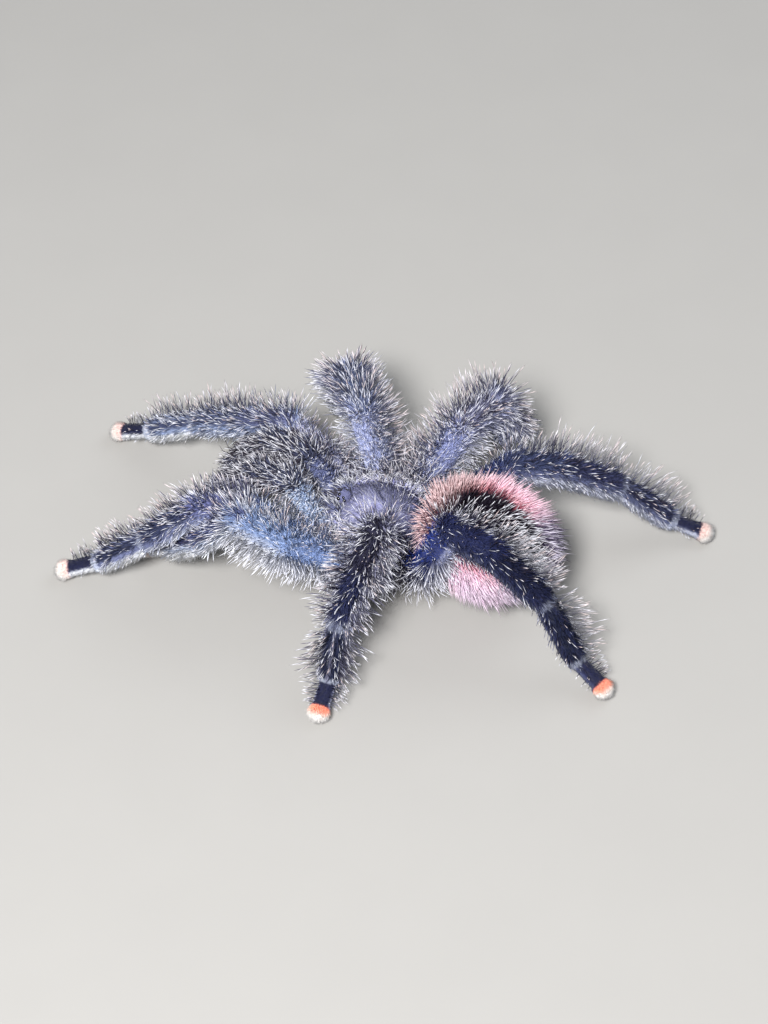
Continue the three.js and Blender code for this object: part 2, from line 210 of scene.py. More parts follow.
def egg_form(middle, half, swell=0.0, sides=40, rows=24):
    """An egg along Y, a little wider towards the rear with swell: points and faces."""
    points, faces = [], []
    for row in range(1, rows):
        polar = math.pi * row / rows
        width = math.sin(polar) * (1 - swell * math.cos(polar))
        for k in range(sides):
            turn = 2 * math.pi * k / sides
            points.append(middle + half * np.array([
                width * math.cos(turn), -math.cos(polar), width * math.sin(turn)]))
    front, rear = len(points), len(points) + 1
    points += [middle - half * REARWARD, middle + half * REARWARD]
    for row in range(rows - 2):
        for k in range(sides):
            a, b = row * sides + k, row * sides + (k + 1) % sides
            faces.append((a, a + sides, b + sides, b))
    for k in range(sides):
        last = (rows - 2) * sides
        faces.append((front, k, (k + 1) % sides))
        faces.append((rear, last + (k + 1) % sides, last + k))
    return points, faces


def body_rods(points, flesh, side=1):
    """The rods along a line of points, such as a jaw, each with its own axes, as for the limbs."""
    rods = []
    for i in range(len(points) - 1):
        start, end = (np.array([side * x, y, z]) for x, y, z in points[i:i + 2])
        along, across = unit(end - start), unit(np.cross(UP, end - start))
        rods.append({"name": "body", "start": start, "along": along, "back": np.cross(along, across),
                     "across": across, "length": np.linalg.norm(end - start), "r0": flesh[i],
                     "r1": flesh[i + 1], "run": 0.0, "flat": 1.0})
    return rods


def spinneret_rods(side):
    return body_rods(swung([(side * x, y, z) for x, y, z in SPINNERET_POINTS]), SPINNERET_FLESH)


COXA_RODS = {}
for limb in LEG_STANCE:
    outer = LIMBS[limb][0]["start"]
    inner = (math.copysign(COXA_INNER[0], outer[0]), outer[1] * COXA_INNER[1], COXA_INNER[2])
    coxa, = body_rods([inner, outer], COXA_FLESH)
    coxa.update(name="coxa", run=-coxa["length"])
    COXA_RODS[limb] = coxa

flesh_rods = [rod for rods in LIMBS.values() for rod in rods] + list(COXA_RODS.values())
for side in SIDES.values():
    flesh_rods += body_rods(PALP_SOCKET, PALP_SOCKET_FLESH, side)
    flesh_rods += body_rods(JAW_POINTS, JAW_FLESH, side) + spinneret_rods(side)
flesh_rods += body_rods(PEDICEL, PEDICEL_FLESH)
abdomen_points, abdomen_faces = egg_form(ABDOMEN_MIDDLE, ABDOMEN_HALF, swell=0.1)
flesh_forms = [rod_form(rod) for rod in flesh_rods]
flesh_forms += [egg_form(PROSOMA_MIDDLE, PROSOMA_HALF), (swung(abdomen_points), abdomen_faces)]

FLESH_VOXEL = 0.36
rough_flesh = mesh_object("rough_flesh", *join_forms(flesh_forms))
fuse = rough_flesh.modifiers.new("fuse", "REMESH")
fuse.mode = "VOXEL"
fuse.voxel_size = FLESH_VOXEL * MM
fuse.use_smooth_shade = True
settle = rough_flesh.modifiers.new("settle", "SMOOTH")
settle.factor = 0.6
settle.iterations = 5
ready = rough_flesh.evaluated_get(bpy.context.evaluated_depsgraph_get())
skin = add_piece("skin", bpy.data.meshes.new_from_object(ready))
bpy.data.objects.remove(rough_flesh)


def srgb(red, green, blue):
    """A colour given in everyday 0 to 255 steps, as the linear values that the shader takes."""
    step = np.array([red, green, blue], float) / 255
    return np.where(step <= 0.04045, step / 12.92, ((step + 0.055) / 1.055) ** 2.4)


def ease(low, high, value):
    """0 below low, 1 above high, and a smooth rise between them."""
    t = np.clip((value - low) / (high - low), 0, 1)
    return t * t * (3 - 2 * t)


def blend(one, other, share):
    share = np.asarray(share)[..., None]
    return one * (1 - share) + other * share


# Colours of the coat on each limb: the back of its lengths in order, its flanks and its underside.
LEG_PLACES = ("trochanter", "femur", "patella", "tibia", "metatarsus", "flank", "under")
PALP_PLACES = ("trochanter", "femur", "patella", "tibia", "tarsus", "flank", "under")
TONES = {
    "left_leg_1": [(125, 142, 193), (144, 167, 215), (99, 104, 148), (59, 66, 98), (49, 55, 84),
                   (120, 128, 167), (198, 205, 229)],
    "left_leg_2": [(123, 140, 185), (122, 142, 184), (124, 144, 184), (79, 86, 126), (57, 62, 99),
                   (156, 166, 190), (209, 213, 226)],
    "left_leg_3": [(107, 108, 145), (81, 82, 119), (38, 38, 60), (38, 43, 76), (32, 38, 66),
                   (130, 131, 157), (152, 155, 181)],
    "left_leg_4": [(36, 52, 116), (32, 48, 112), (34, 40, 78), (24, 29, 58), (22, 28, 54),
                   (36, 42, 76), (73, 78, 108)],
    "right_leg_1": [(184, 186, 216), (178, 182, 216), (92, 98, 134), (86, 94, 126), (70, 78, 110),
                    (136, 150, 184), (199, 207, 232)],
    "right_leg_2": [(182, 184, 214), (152, 160, 196), (98, 108, 142), (88, 96, 134), (63, 68, 103),
                    (138, 146, 185), (153, 160, 192)],
    "right_leg_3": [(159, 164, 205), (134, 142, 184), (110, 112, 142), (84, 90, 126), (61, 66, 99),
                    (143, 148, 183), (163, 169, 200)],
    "right_leg_4": [(52, 62, 108), (48, 58, 100), (62, 70, 104), (50, 54, 86), (36, 40, 70),
                    (95, 102, 137), (186, 191, 211)],
    "left_palp": [(154, 169, 201), (156, 173, 203), (60, 65, 90), (48, 53, 75), (42, 45, 65),
                  (75, 81, 110), (82, 87, 112)],
    "right_palp": [(114, 122, 162), (108, 116, 155), (60, 65, 89), (48, 53, 73), (42, 45, 63),
                   (72, 77, 104), (82, 87, 111)],
}
LIMB_TONES = {}
for limb, tones in TONES.items():
    places = PALP_PLACES if limb in PALP_STANCE else LEG_PLACES
    LIMB_TONES[limb] = {place: srgb(*tone) for place, tone in zip(places, tones)}
LIMB_TONES["left_leg_4"]["fringe"] = srgb(153, 160, 195)
# The coxae take half the trochanter's colour: painted shade of the gaps between the leg bases and under the
# shield's rim.
COXA_PAINTED_SHADE = 0.5
FOOT_TOP = srgb(22, 26, 58)
FOOT_FLANK = srgb(66, 72, 112)
CUFF = srgb(206, 214, 236)
CUFFED = {"tibia": 0.4, "metatarsus": 0.75}
TOE_WHITE = srgb(255, 246, 242)
TOE_PINK = srgb(255, 218, 213)
TOE_SALMON = srgb(255, 158, 134)
TOE_START = 0.86
SALMON_TOES = ("left_leg_3", "left_leg_4")
# Lengths that are smooth on top with a fringe below, and how far round from the back it starts.
FEMUR_FRINGE = 1.85
FRINGE_START = {("left_leg_2", "patella"): 1.15, ("left_leg_2", "femur"): 1.3, ("left_leg_4", "femur"): 1.1}
SHORT_FRINGES = [("left_leg_4", "femur")]
# Limbs with one shaggier flank: which flank, how much longer its hairs grow, how frosted they are
# along their length, and on which lengths of the limb; and limbs with soft hair hanging below.
PLAIN_FLANK = (0, 0.0, 0.0, ())
SHAGGY_FLANK = {
    "left_leg_4": (1, 0.2, 0.2, ("tibia", "metatarsus")),
    "right_leg_4": (1, 0.3, 0.2, ("tibia", "metatarsus")),
    "right_leg_3": (1, 0.3, 0.0, ("trochanter", "femur", "patella")),
    "right_leg_2": (-1, 0.2, 0.0, ("femur",)),
    "right_leg_1": (-1, 0.12, 0.0, ("tibia", "metatarsus")),
    "left_leg_1": (-1, -0.06, 0.0, ("tibia", "metatarsus")),
}
SOFT_BELOW = {"right_leg_4": 0.45}
# Legs whose last two lengths are edged by a dense white sole.
WHITE_SOLES = ("left_leg_1", "right_leg_1", "left_leg_2", "right_leg_2")
SOLE_WHITE = srgb(236, 240, 250)
# The habit of each limb's coat: the share of hairs that end pale, how dark the stripe along its
# back stays, on which flank the bristles are short (1, -1, or 0 for neither), how thick they stand
# along the back of the femur, and what part of the pale share is left on the short flank.
HABITS = {
    "left_leg_1": (0.7, 0.2, 1, 0.7, 0.8), "left_leg_2": (0.7, 0.1, 1, 0.5, 0.8),
    "left_leg_3": (0.75, 0.5, 0, 0.7, 1.0), "left_leg_4": (0.8, 0.9, -1, 0.1, 0.3),
    "right_leg_1": (0.75, 0.2, 1, 0.8, 1.0), "right_leg_2": (0.8, 0.0, 0, 0.9, 1.0),
    "right_leg_3": (0.8, 0.0, 0, 0.9, 1.0), "right_leg_4": (0.7, 0.7, -1, 0.3, 1.0),
    "left_palp": (0.6, 0.2, 0, 0.3, 1.0), "right_palp": (0.55, 0.2, 0, 0.7, 1.0),
}


def limb_colour(limb, bone, s, turn):
    """Coat colour at s along a length, 0 to 1, and turn away from the middle of its back, radians."""
    off_back = np.abs(turn)
    tones = LIMB_TONES[limb]
    if bone == "tarsus" and limb in LEG_STANCE:
        base = blend(FOOT_TOP, FOOT_FLANK, ease(0.9, 1.4, off_back))
        sole = SOLE_WHITE if limb in WHITE_SOLES else tones["under"]
        base = blend(base, sole, ease(1.1, 1.4, off_back) * 0.95)
        root = TOE_SALMON if limb in SALMON_TOES else TOE_PINK
        toe = blend(root, TOE_WHITE, ease(1.02, 1.2, s + 0.14 * ease(0.8, 1.6, off_back)))
        return blend(base, toe, ease(TOE_START, TOE_START + 0.06, s))
    # A coxa is darkened by painted shade of the gaps between the leg bases.
    back = tones["trochanter"] * COXA_PAINTED_SHADE if bone == "coxa" else tones[bone]
    if bone == "femur":
        back = blend(back, tones["patella"], ease(0.97, 1.1, s))
        fringe = ease(1.9, 2.3, off_back) * 0.9 * ease(1.1, 1.0, s)
        return blend(back, tones.get("fringe", tones["under"]), fringe)
    if bone == "metatarsus":
        back = blend(back, tones["flank"], ease(0.2, 0.06, off_back) * 0.7)
    base = blend(back, tones["flank"], ease(0.75, 1.15, off_back))
    sole = SOLE_WHITE if bone == "metatarsus" and limb in WHITE_SOLES else tones["under"]
    base = blend(base, sole, ease(1.3, 1.65, off_back) * 0.9)
    if bone in CUFFED and limb in LEG_STANCE:
        pale = CUFFED[bone] * (1 - 0.6 * HABITS[limb][1])
        base = blend(base, CUFF, ease(0.94, 0.99, s) * pale * (0.35 + 0.65 * ease(0.1, 0.35, off_back)))
    return base


# Colours of the abdomen's coat: a black back, a broad pink ring round it, grey behind and below.
BACK_BLACK = srgb(26, 20, 34)
PINK_ROOT = srgb(118, 50, 62)
REAR_GREY = srgb(66, 60, 80)
BELLY = srgb(48, 42, 54)
BACK_TWIST = 0.4


def abdomen_zones(points):
    """Shares of pink ring, black back, grey rear and belly at points on the abdomen, and the turn."""
    place = unit((unswung(points) - ABDOMEN_MIDDLE) / ABDOMEN_HALF)
    lengthwise = place[:, 1]
    turn = np.arctan2(place[:, 0], place[:, 2]) - BACK_TWIST
    around = np.abs(turn)
    back = ease(0.85, 0.71, around + 0.25 * ease(-0.15, -0.7, lengthwise)) * ease(-0.8, -0.45, lengthwise)
    rear = ease(0.35, 0.7, lengthwise)
    belly = ease(2.0, 2.4, around)
    pink = (1 - back) * (1 - rear) * (1 - belly)
    return pink, back, belly, turn


def in_zones(pink, back, pink_colour, back_colour, rest_colour):
    """One colour from those of the pink ring, the black back and the rest, by their shares."""
    rest = np.clip(1 - pink - back, 0, 1)
    return pink[:, None] * pink_colour + back[:, None] * back_colour + rest[:, None] * rest_colour


def abdomen_colour(points):
    pink, back, belly, _ = abdomen_zones(points)
    return in_zones(pink, back, PINK_ROOT, BACK_BLACK, blend(REAR_GREY, BELLY, belly))


def rod_places(rod, points):
    """Where points lie against a rod: along it 0 to 1, turned from its back, and off its surface."""
    off = points - rod["start"]
    s = off @ rod["along"] / rod["length"]
    on_axis = np.clip(s, 0, 1)
    out = off - on_axis[:, None] * rod["along"] * rod["length"]
    high, wide = out @ rod["back"], out @ rod["across"]
    reach = np.sqrt((high / rod["flat"]) ** 2 + wide ** 2 + (out @ rod["along"]) ** 2)
    gap = reach - (rod["r0"] + (rod["r1"] - rod["r0"]) * on_axis)
    return s, np.arctan2(wide, high), gap


def paint(mesh, colours):
    """Lays a colour on every point of a mesh."""
    shade = np.ones((len(mesh.vertices), 4), np.float32)
    shade[:, :3] = np.clip(colours, 0, 1)
    store = mesh.color_attributes.new("coat_colour", "FLOAT_COLOR", "POINT")
    store.data.foreach_set("color", shade.ravel())


BODY_VELVET = srgb(46, 42, 56)
SKIN_SHADE = 0.7
LIMB_SKIN_GAP = 0.6
ABDOMEN_SKIN_GAP = 0.3
ABDOMEN_FRONT_Y = 10.8
ABDOMEN_SKIN_REACH = 1.15
skin_points = np.empty(len(skin.data.vertices) * 3, np.float32)
skin.data.vertices.foreach_get("co", skin_points)
skin_points = skin_points.reshape(-1, 3) / MM - FOOTPRINT_SHIFT
skin_colours = np.broadcast_to(BODY_VELVET, skin_points.shape).copy()
nearest = np.full(len(skin_points), LIMB_SKIN_GAP)
for limb, rods in LIMBS.items():
    for rod in rods + ([COXA_RODS[limb]] if limb in COXA_RODS else []):
        s, turn, gap = rod_places(rod, skin_points)
        closer = gap < nearest
        skin_colours[closer] = limb_colour(limb, rod["name"], s[closer], turn[closer])
        nearest[closer] = gap[closer]
straight = unswung(skin_points)
on_abdomen = (straight[:, 1] > ABDOMEN_FRONT_Y) & (nearest > ABDOMEN_SKIN_GAP)
on_abdomen &= np.linalg.norm((straight - ABDOMEN_MIDDLE) / ABDOMEN_HALF, axis=1) < ABDOMEN_SKIN_REACH
skin_colours[on_abdomen] = abdomen_colour(skin_points[on_abdomen])
paint(skin.data, skin_colours * SKIN_SHADE)


def grain_group():
    """Fine uneven grain of hair and velvet: breaks up a colour, its roughness and its height."""
    group = bpy.data.node_groups.new("coat_grain", "ShaderNodeTree")
    face = group.interface
    face.new_socket("Colour", in_out="INPUT", socket_type="NodeSocketColor")
    for name, value in (("Scale", 900.0), ("Strength", 0.3), ("Base roughness", 0.55)):
        face.new_socket(name, in_out="INPUT", socket_type="NodeSocketFloat").default_value = value
    face.new_socket("Colour", in_out="OUTPUT", socket_type="NodeSocketColor")
    for name in ("Roughness", "Height"):
        face.new_socket(name, in_out="OUTPUT", socket_type="NodeSocketFloat")
    nodes, links = group.nodes, group.links
    inlet = nodes.new("NodeGroupInput")
    outlet = nodes.new("NodeGroupOutput")
    place = nodes.new("ShaderNodeTexCoord")
    noise = nodes.new("ShaderNodeTexNoise")
    noise.inputs["Detail"].default_value = 5.0
    links.new(place.outputs["Object"], noise.inputs["Vector"])
    links.new(inlet.outputs["Scale"], noise.inputs["Scale"])
    centred = nodes.new("ShaderNodeMath")
    centred.operation = "SUBTRACT"
    centred.inputs[1].default_value = 0.5
    links.new(noise.outputs["Fac"], centred.inputs[0])
    swing = nodes.new("ShaderNodeMath")
    swing.operation = "MULTIPLY"
    links.new(centred.outputs[0], swing.inputs[0])
    links.new(inlet.outputs["Strength"], swing.inputs[1])
    lift = nodes.new("ShaderNodeMath")
    lift.operation = "MULTIPLY_ADD"
    lift.inputs[1].default_value = 2.4
    lift.inputs[2].default_value = 1.0
    links.new(swing.outputs[0], lift.inputs[0])
    tint = nodes.new("ShaderNodeVectorMath")
    tint.operation = "SCALE"
    links.new(inlet.outputs["Colour"], tint.inputs[0])
    links.new(lift.outputs[0], tint.inputs["Scale"])
    rough = nodes.new("ShaderNodeMath")
    rough.operation = "ADD"
    rough.use_clamp = True
    links.new(inlet.outputs["Base roughness"], rough.inputs[0])
    links.new(swing.outputs[0], rough.inputs[1])
    links.new(tint.outputs[0], outlet.inputs["Colour"])
    links.new(rough.outputs[0], outlet.inputs["Roughness"])
    links.new(noise.outputs["Fac"], outlet.inputs["Height"])
    return group


GRAIN = grain_group()
RELIEF_DEPTH = 0.3


def coat_material(name, scale, strength, roughness, specular=0.5, sheen=0.0, bump=0.0, colour=None,
                  polish=None):
    """A finish whose colour comes from the painted coat, or is one colour, broken up by the grain.
    polish is the weight and the roughness of a clear gloss over it."""
    material = bpy.data.materials.new(name)
    material.use_nodes = True
    nodes, links = material.node_tree.nodes, material.node_tree.links
    shader = nodes["Principled BSDF"]
    grain = nodes.new("ShaderNodeGroup")
    grain.node_tree = GRAIN
    grain.inputs["Scale"].default_value = scale
    grain.inputs["Strength"].default_value = strength
    grain.inputs["Base roughness"].default_value = roughness
    if colour is None:
        painted = nodes.new("ShaderNodeVertexColor")
        painted.layer_name = "coat_colour"
        links.new(painted.outputs["Color"], grain.inputs["Colour"])
    else:
        grain.inputs["Colour"].default_value = (*colour, 1)
    links.new(grain.outputs["Colour"], shader.inputs["Base Color"])
    links.new(grain.outputs["Roughness"], shader.inputs["Roughness"])
    shader.inputs["Specular IOR Level"].default_value = specular
    shader.inputs["Sheen Weight"].default_value = sheen
    shader.inputs["Sheen Roughness"].default_value = 0.5
    if polish:
        shader.inputs["Coat Weight"].default_value = polish[0]
        shader.inputs["Coat Roughness"].default_value = polish[1]
    if bump:
        relief = nodes.new("ShaderNodeBump")
        relief.inputs["Strength"].default_value = bump
        relief.inputs["Distance"].default_value = RELIEF_DEPTH * MM
        links.new(grain.outputs["Height"], relief.inputs["Height"])
        links.new(relief.outputs["Normal"], shader.inputs["Normal"])
    return material


skin.data.materials.clear()
skin_finish = coat_material("velvet_skin", 1600.0, 0.7, 0.75, specular=0.25, sheen=0.15, bump=0.6)
skin.data.materials.append(skin_finish)
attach(skin, "root")
flesh_nodes = [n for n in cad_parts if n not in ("carapace", "eye_tubercle", "left_fang", "right_fang")]
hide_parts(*flesh_nodes)

# Carapace. The hard shield over the front body: one thin domed plate of chitin with a raised head
# part, a pit at its middle where muscles pull from inside, and shallow grooves running out from it.
SHIELD_HALF_LENGTH = 8.65
SHIELD_STATIONS = [-9.1, -8.2, -6.2, -3.0, 0.6, 4.2, 7.0, 8.2]
SHIELD_HALF_WIDTHS = [3.9, 4.4, 5.8, 7.0, 7.6, 7.2, 5.4, 4.6]
SHIELD_TOPS = [8.9, 9.3, 10.5, 10.7, 10.2, 9.6, 8.9, 8.4]
SHIELD_EDGE_Z = 7.7
SHIELD_THICKNESS = 0.45
SHIELD_FURTHEST = 12.0
HEAD_RISE = 0.35
HEAD_Y = -5.6
FOVEA_Y = 1.4
FOVEA_DEPTH = 0.55
GROOVE_WIDTH = 0.22
# The grooves of one side: where each runs out to, and how deep it is.
SHIELD_GROOVES = [(-5.6, -4.6, 0.34), (-7.2, -0.6, 0.22), (-7.0, 3.4, 0.22), (-4.6, 7.0, 0.2)]


def shield_half_width(y):
    from_middle = min(abs(y - CARAPACE_MIDDLE_Y) / SHIELD_HALF_LENGTH, 1.0)
    rounding = math.sqrt(max(1 - from_middle ** 7, 0))
    return float(np.interp(y, SHIELD_STATIONS, SHIELD_HALF_WIDTHS)) * rounding


def shield_reach(turn):
    """How far the rim lies from the middle in one direction."""
    low, high = 0.0, SHIELD_FURTHEST
    for _ in range(30):
        reach = (low + high) / 2
        out, along = reach * math.cos(turn), reach * math.sin(turn)
        inside = abs(out) <= shield_half_width(CARAPACE_MIDDLE_Y + along) and abs(along) <= SHIELD_HALF_LENGTH
        low, high = (reach, high) if inside else (low, reach)
    return low


def groove_depth(x, y):
    """How deep the pit and the grooves are at points of the shield."""
    behind = y - FOVEA_Y
    depth = FOVEA_DEPTH * np.exp(-(x ** 2 / 0.5 + behind ** 2 / 0.16))
    for out, along, deep in SHIELD_GROOVES:
        for side in SIDES.values():
            run = np.array([side * out, along - FOVEA_Y])
            share = np.clip((x * run[0] + behind * run[1]) / (run @ run), 0.06, 0.85)
            gap = (x - share * run[0]) ** 2 + (behind - share * run[1]) ** 2
            depth = depth + deep * np.exp(-gap / GROOVE_WIDTH) * np.sin(math.pi * share) ** 0.5
    return depth


def shield_top(x, y, from_middle):
    rise = np.interp(y, SHIELD_STATIONS, SHIELD_TOPS) - SHIELD_EDGE_Z
    head = HEAD_RISE * np.exp(-((x / 3.4) ** 2 + ((y - HEAD_Y) / 3.0) ** 2))
    dome = (1 - from_middle ** 2.6) ** 0.8
    return SHIELD_EDGE_Z + (rise + head) * dome - groove_depth(x, y) * dome ** 0.5


SHIELD_SPOKES = 120
SHIELD_RINGS = 36
turns = np.linspace(0, 2 * math.pi, SHIELD_SPOKES, endpoint=False)
reaches = np.array([shield_reach(t) for t in turns])


def shield_points(spoke, ring):
    """Points of the upper face: which way from the middle, in spokes, and how far out, 0 to 1."""
    reach = np.interp(spoke, np.arange(SHIELD_SPOKES + 1), np.append(reaches, reaches[0]))
    turn = spoke / SHIELD_SPOKES * 2 * math.pi
    x = ring * reach * np.cos(turn)
    y = CARAPACE_MIDDLE_Y + ring * reach * np.sin(turn)
    return np.stack([x, y, shield_top(x, y, ring)], axis=-1)


def drawn_in(points, share):
    """The same ring of the shield, nearer to its middle."""
    ring = points.copy()
    ring[:, :2] = (ring[:, :2] - [0, CARAPACE_MIDDLE_Y]) * share + [0, CARAPACE_MIDDLE_Y]
    return ring


spokes = np.arange(SHIELD_SPOKES)
plate = [shield_points(np.array([0.0]), np.array([0.0]))]
for ring in range(1, SHIELD_RINGS + 1):
    plate.append(shield_points(spokes, np.full(SHIELD_SPOKES, (ring / SHIELD_RINGS) ** 0.9)))
rim = drawn_in(plate[-1], 0.985)
rim[:, 2] -= SHIELD_THICKNESS
plate += [rim, drawn_in(rim, 0.8), np.array([[0, CARAPACE_MIDDLE_Y, SHIELD_EDGE_Z - SHIELD_THICKNESS]])]
plate_points = np.concatenate(plate)
plate_faces = []
for k in range(SHIELD_SPOKES):
    after = (k + 1) % SHIELD_SPOKES
    plate_faces.append((0, 1 + k, 1 + after))
    for ring in range(SHIELD_RINGS + 1):
        a = 1 + ring * SHIELD_SPOKES
        plate_faces.append((a + k, a + k + SHIELD_SPOKES, a + after + SHIELD_SPOKES, a + after))
    last = 1 + (SHIELD_RINGS + 1) * SHIELD_SPOKES
    plate_faces.append((last + after, last + k, len(plate_points) - 1))
shield = mesh_object("carapace_shield", plate_points, plate_faces)
SHIELD_PALE = srgb(146, 148, 202)
SHIELD_DARK = srgb(38, 44, 84)
SHIELD_SHADE = 0.6


def shield_colour(points):
    """Pale blue-violet shield, with painted shade in its pit and grooves, and darker towards the rear."""
    # Painted shade: the deeper the pit or a groove, the darker the shield there.
    dark = np.clip(groove_depth(points[:, 0], points[:, 1]) * 1.6, 0, 0.8)
    dark = np.maximum(dark, ease(2.5, 7.5, points[:, 1]) * 0.85)
    return blend(SHIELD_PALE, SHIELD_DARK, dark)


paint(shield.data, shield_colour(plate_points) * SHIELD_SHADE)
shield.data.materials.append(coat_material("shield_chitin", 1100.0, 0.35, 0.45, bump=0.35))
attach(shield, "root")
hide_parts("carapace")

# Eyes. Eight glossy lenses in shallow sockets on one low mound at the front of the shield: two
# round ones look forward, and three pairs sit around the mound's flanks, clear of its short hairs.
MOUND_MIDDLE = np.array([0.0, -6.9, 10.7])
MOUND_HALF = np.array([1.3, 1.05, 0.8])
SOCKET_DEPTH = 0.2
# The eyes of one side: how far each lies out, to the rear and up from the mound's middle, and its radius.
EYE_PLACES = [
    (0.42, -0.62, 0.58, 0.34), (1.05, -0.62, 0.24, 0.36), (0.85, 0.15, 0.52, 0.26), (1.14, 0.4, 0.2, 0.3),
]
EYES = []
for side in SIDES.values():
    for out, rear, up, radius in EYE_PLACES:
        EYES.append((MOUND_MIDDLE + np.array([side * out, rear, up]), radius))


def ball_form(middle, half, sides=24, rows=14):
    return egg_form(np.asarray(middle, float), np.asarray(half, float), 0.0, sides, rows)


mound_forms = [ball_form(MOUND_MIDDLE, MOUND_HALF, 32, 20)]
for eye, radius in EYES:
    socket = eye * (1 - SOCKET_DEPTH) + MOUND_MIDDLE * SOCKET_DEPTH
    mound_forms.append(ball_form(socket, [radius * 1.22] * 3, 20, 12))
mound = mesh_object("eye_mound", *join_forms(mound_forms))
mound_finish = coat_material("mound_chitin", 2400.0, 0.5, 0.5, bump=0.3, colour=srgb(84, 88, 124))
mound.data.materials.append(mound_finish)
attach(mound, "root")
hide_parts("eye_tubercle")

lenses = mesh_object("eye_lenses", *join_forms([ball_form(eye, [radius] * 3) for eye, radius in EYES]))
lens_finish = coat_material("eye_lens", 3000.0, 0.15, 0.08, colour=srgb(16, 12, 12), polish=(1.0, 0.04))
lenses.data.materials.append(lens_finish)
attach(lenses, "root")

# Fangs. Two curved hollow needles of black polished chitin, hinged at the ends of the jaws and
# folded in under them, reddish towards their points.
FANG_POINTS = [
    (2.2, -14.2, 4.8), (2.15, -14.1, 3.9), (2.1, -13.8, 3.1), (1.95, -12.9, 2.4), (1.75, -11.8, 2.2),
    (1.5, -10.7, 2.35),
]
FANG_RADII = [0.72, 0.68, 0.58, 0.46, 0.32, 0.1]
FANG_SIDES = 14


def tube_form(points, radii, sides):
    """A closed tapering tube on a bent line: points and faces."""
    line = [np.array(p, float) for p in points]
    ring_points = []
    for i, (centre, radius) in enumerate(zip(line, radii)):
        along = unit(line[min(i + 1, len(line) - 1)] - line[max(i - 1, 0)])
        across = unit(np.cross([1.0, 0.0, 0.0], along))
        up = np.cross(along, across)
        for k in range(sides):
            turn = 2 * math.pi * k / sides
            ring_points.append(centre + radius * (math.cos(turn) * across + math.sin(turn) * up))
    return ring_points, tube_faces(len(line), sides)


fang_finish = coat_material("fang_chitin", 1500.0, 0.25, 0.2, polish=(0.6, 0.1))
FANG_BLACK = srgb(20, 14, 14)
FANG_RED = srgb(74, 26, 18)
for label, side in SIDES.items():
    points, faces = tube_form([(side * x, y, z) for x, y, z in FANG_POINTS], FANG_RADII, FANG_SIDES)
    fang = mesh_object(label + "_fang_tooth", points, faces)
    smooth_fang = fang.modifiers.new("round", "SUBSURF")
    smooth_fang.levels = smooth_fang.render_levels = 1
    to_point = ease(-13.2, -10.8, np.array(points)[:, 1])
    paint(fang.data, blend(FANG_BLACK, FANG_RED, to_point))
    fang.data.materials.append(fang_finish)
    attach(fang, "root")
    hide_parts(label + "_fang")

# Coat of the legs. Each leg carries a dense short undercoat lying towards the foot, and through it
# stand long thin bristles, dark at the root and white for most of their length.
MAKER_SEED = 5
BAKE_PATCH = 0.003
BAKE_EDGE = 0.0005
FLOOR_CLEARANCE = 0.04
ROOT_FLOOR = 0.15
ROOT_DEPTH = 0.2
ROOT_SLACK = 0.05
coat_finish = coat_material("coat_hair", 700.0, 0.25, 0.6, specular=0.2)


def hair_triangles(rings):
    """The faces of one hair with that many three-sided rings and a point."""
    faces = [(0, 2, 1)]
    for ring in range(rings - 1):
        for k in range(3):
            a, b = ring * 3 + k, ring * 3 + (k + 1) % 3
            faces += [(a, b, b + 3), (a, b + 3, a + 3)]
    last, point = (rings - 1) * 3, rings * 3
    faces += [(last + k, last + (k + 1) % 3, point) for k in range(3)]
    return np.array(faces)


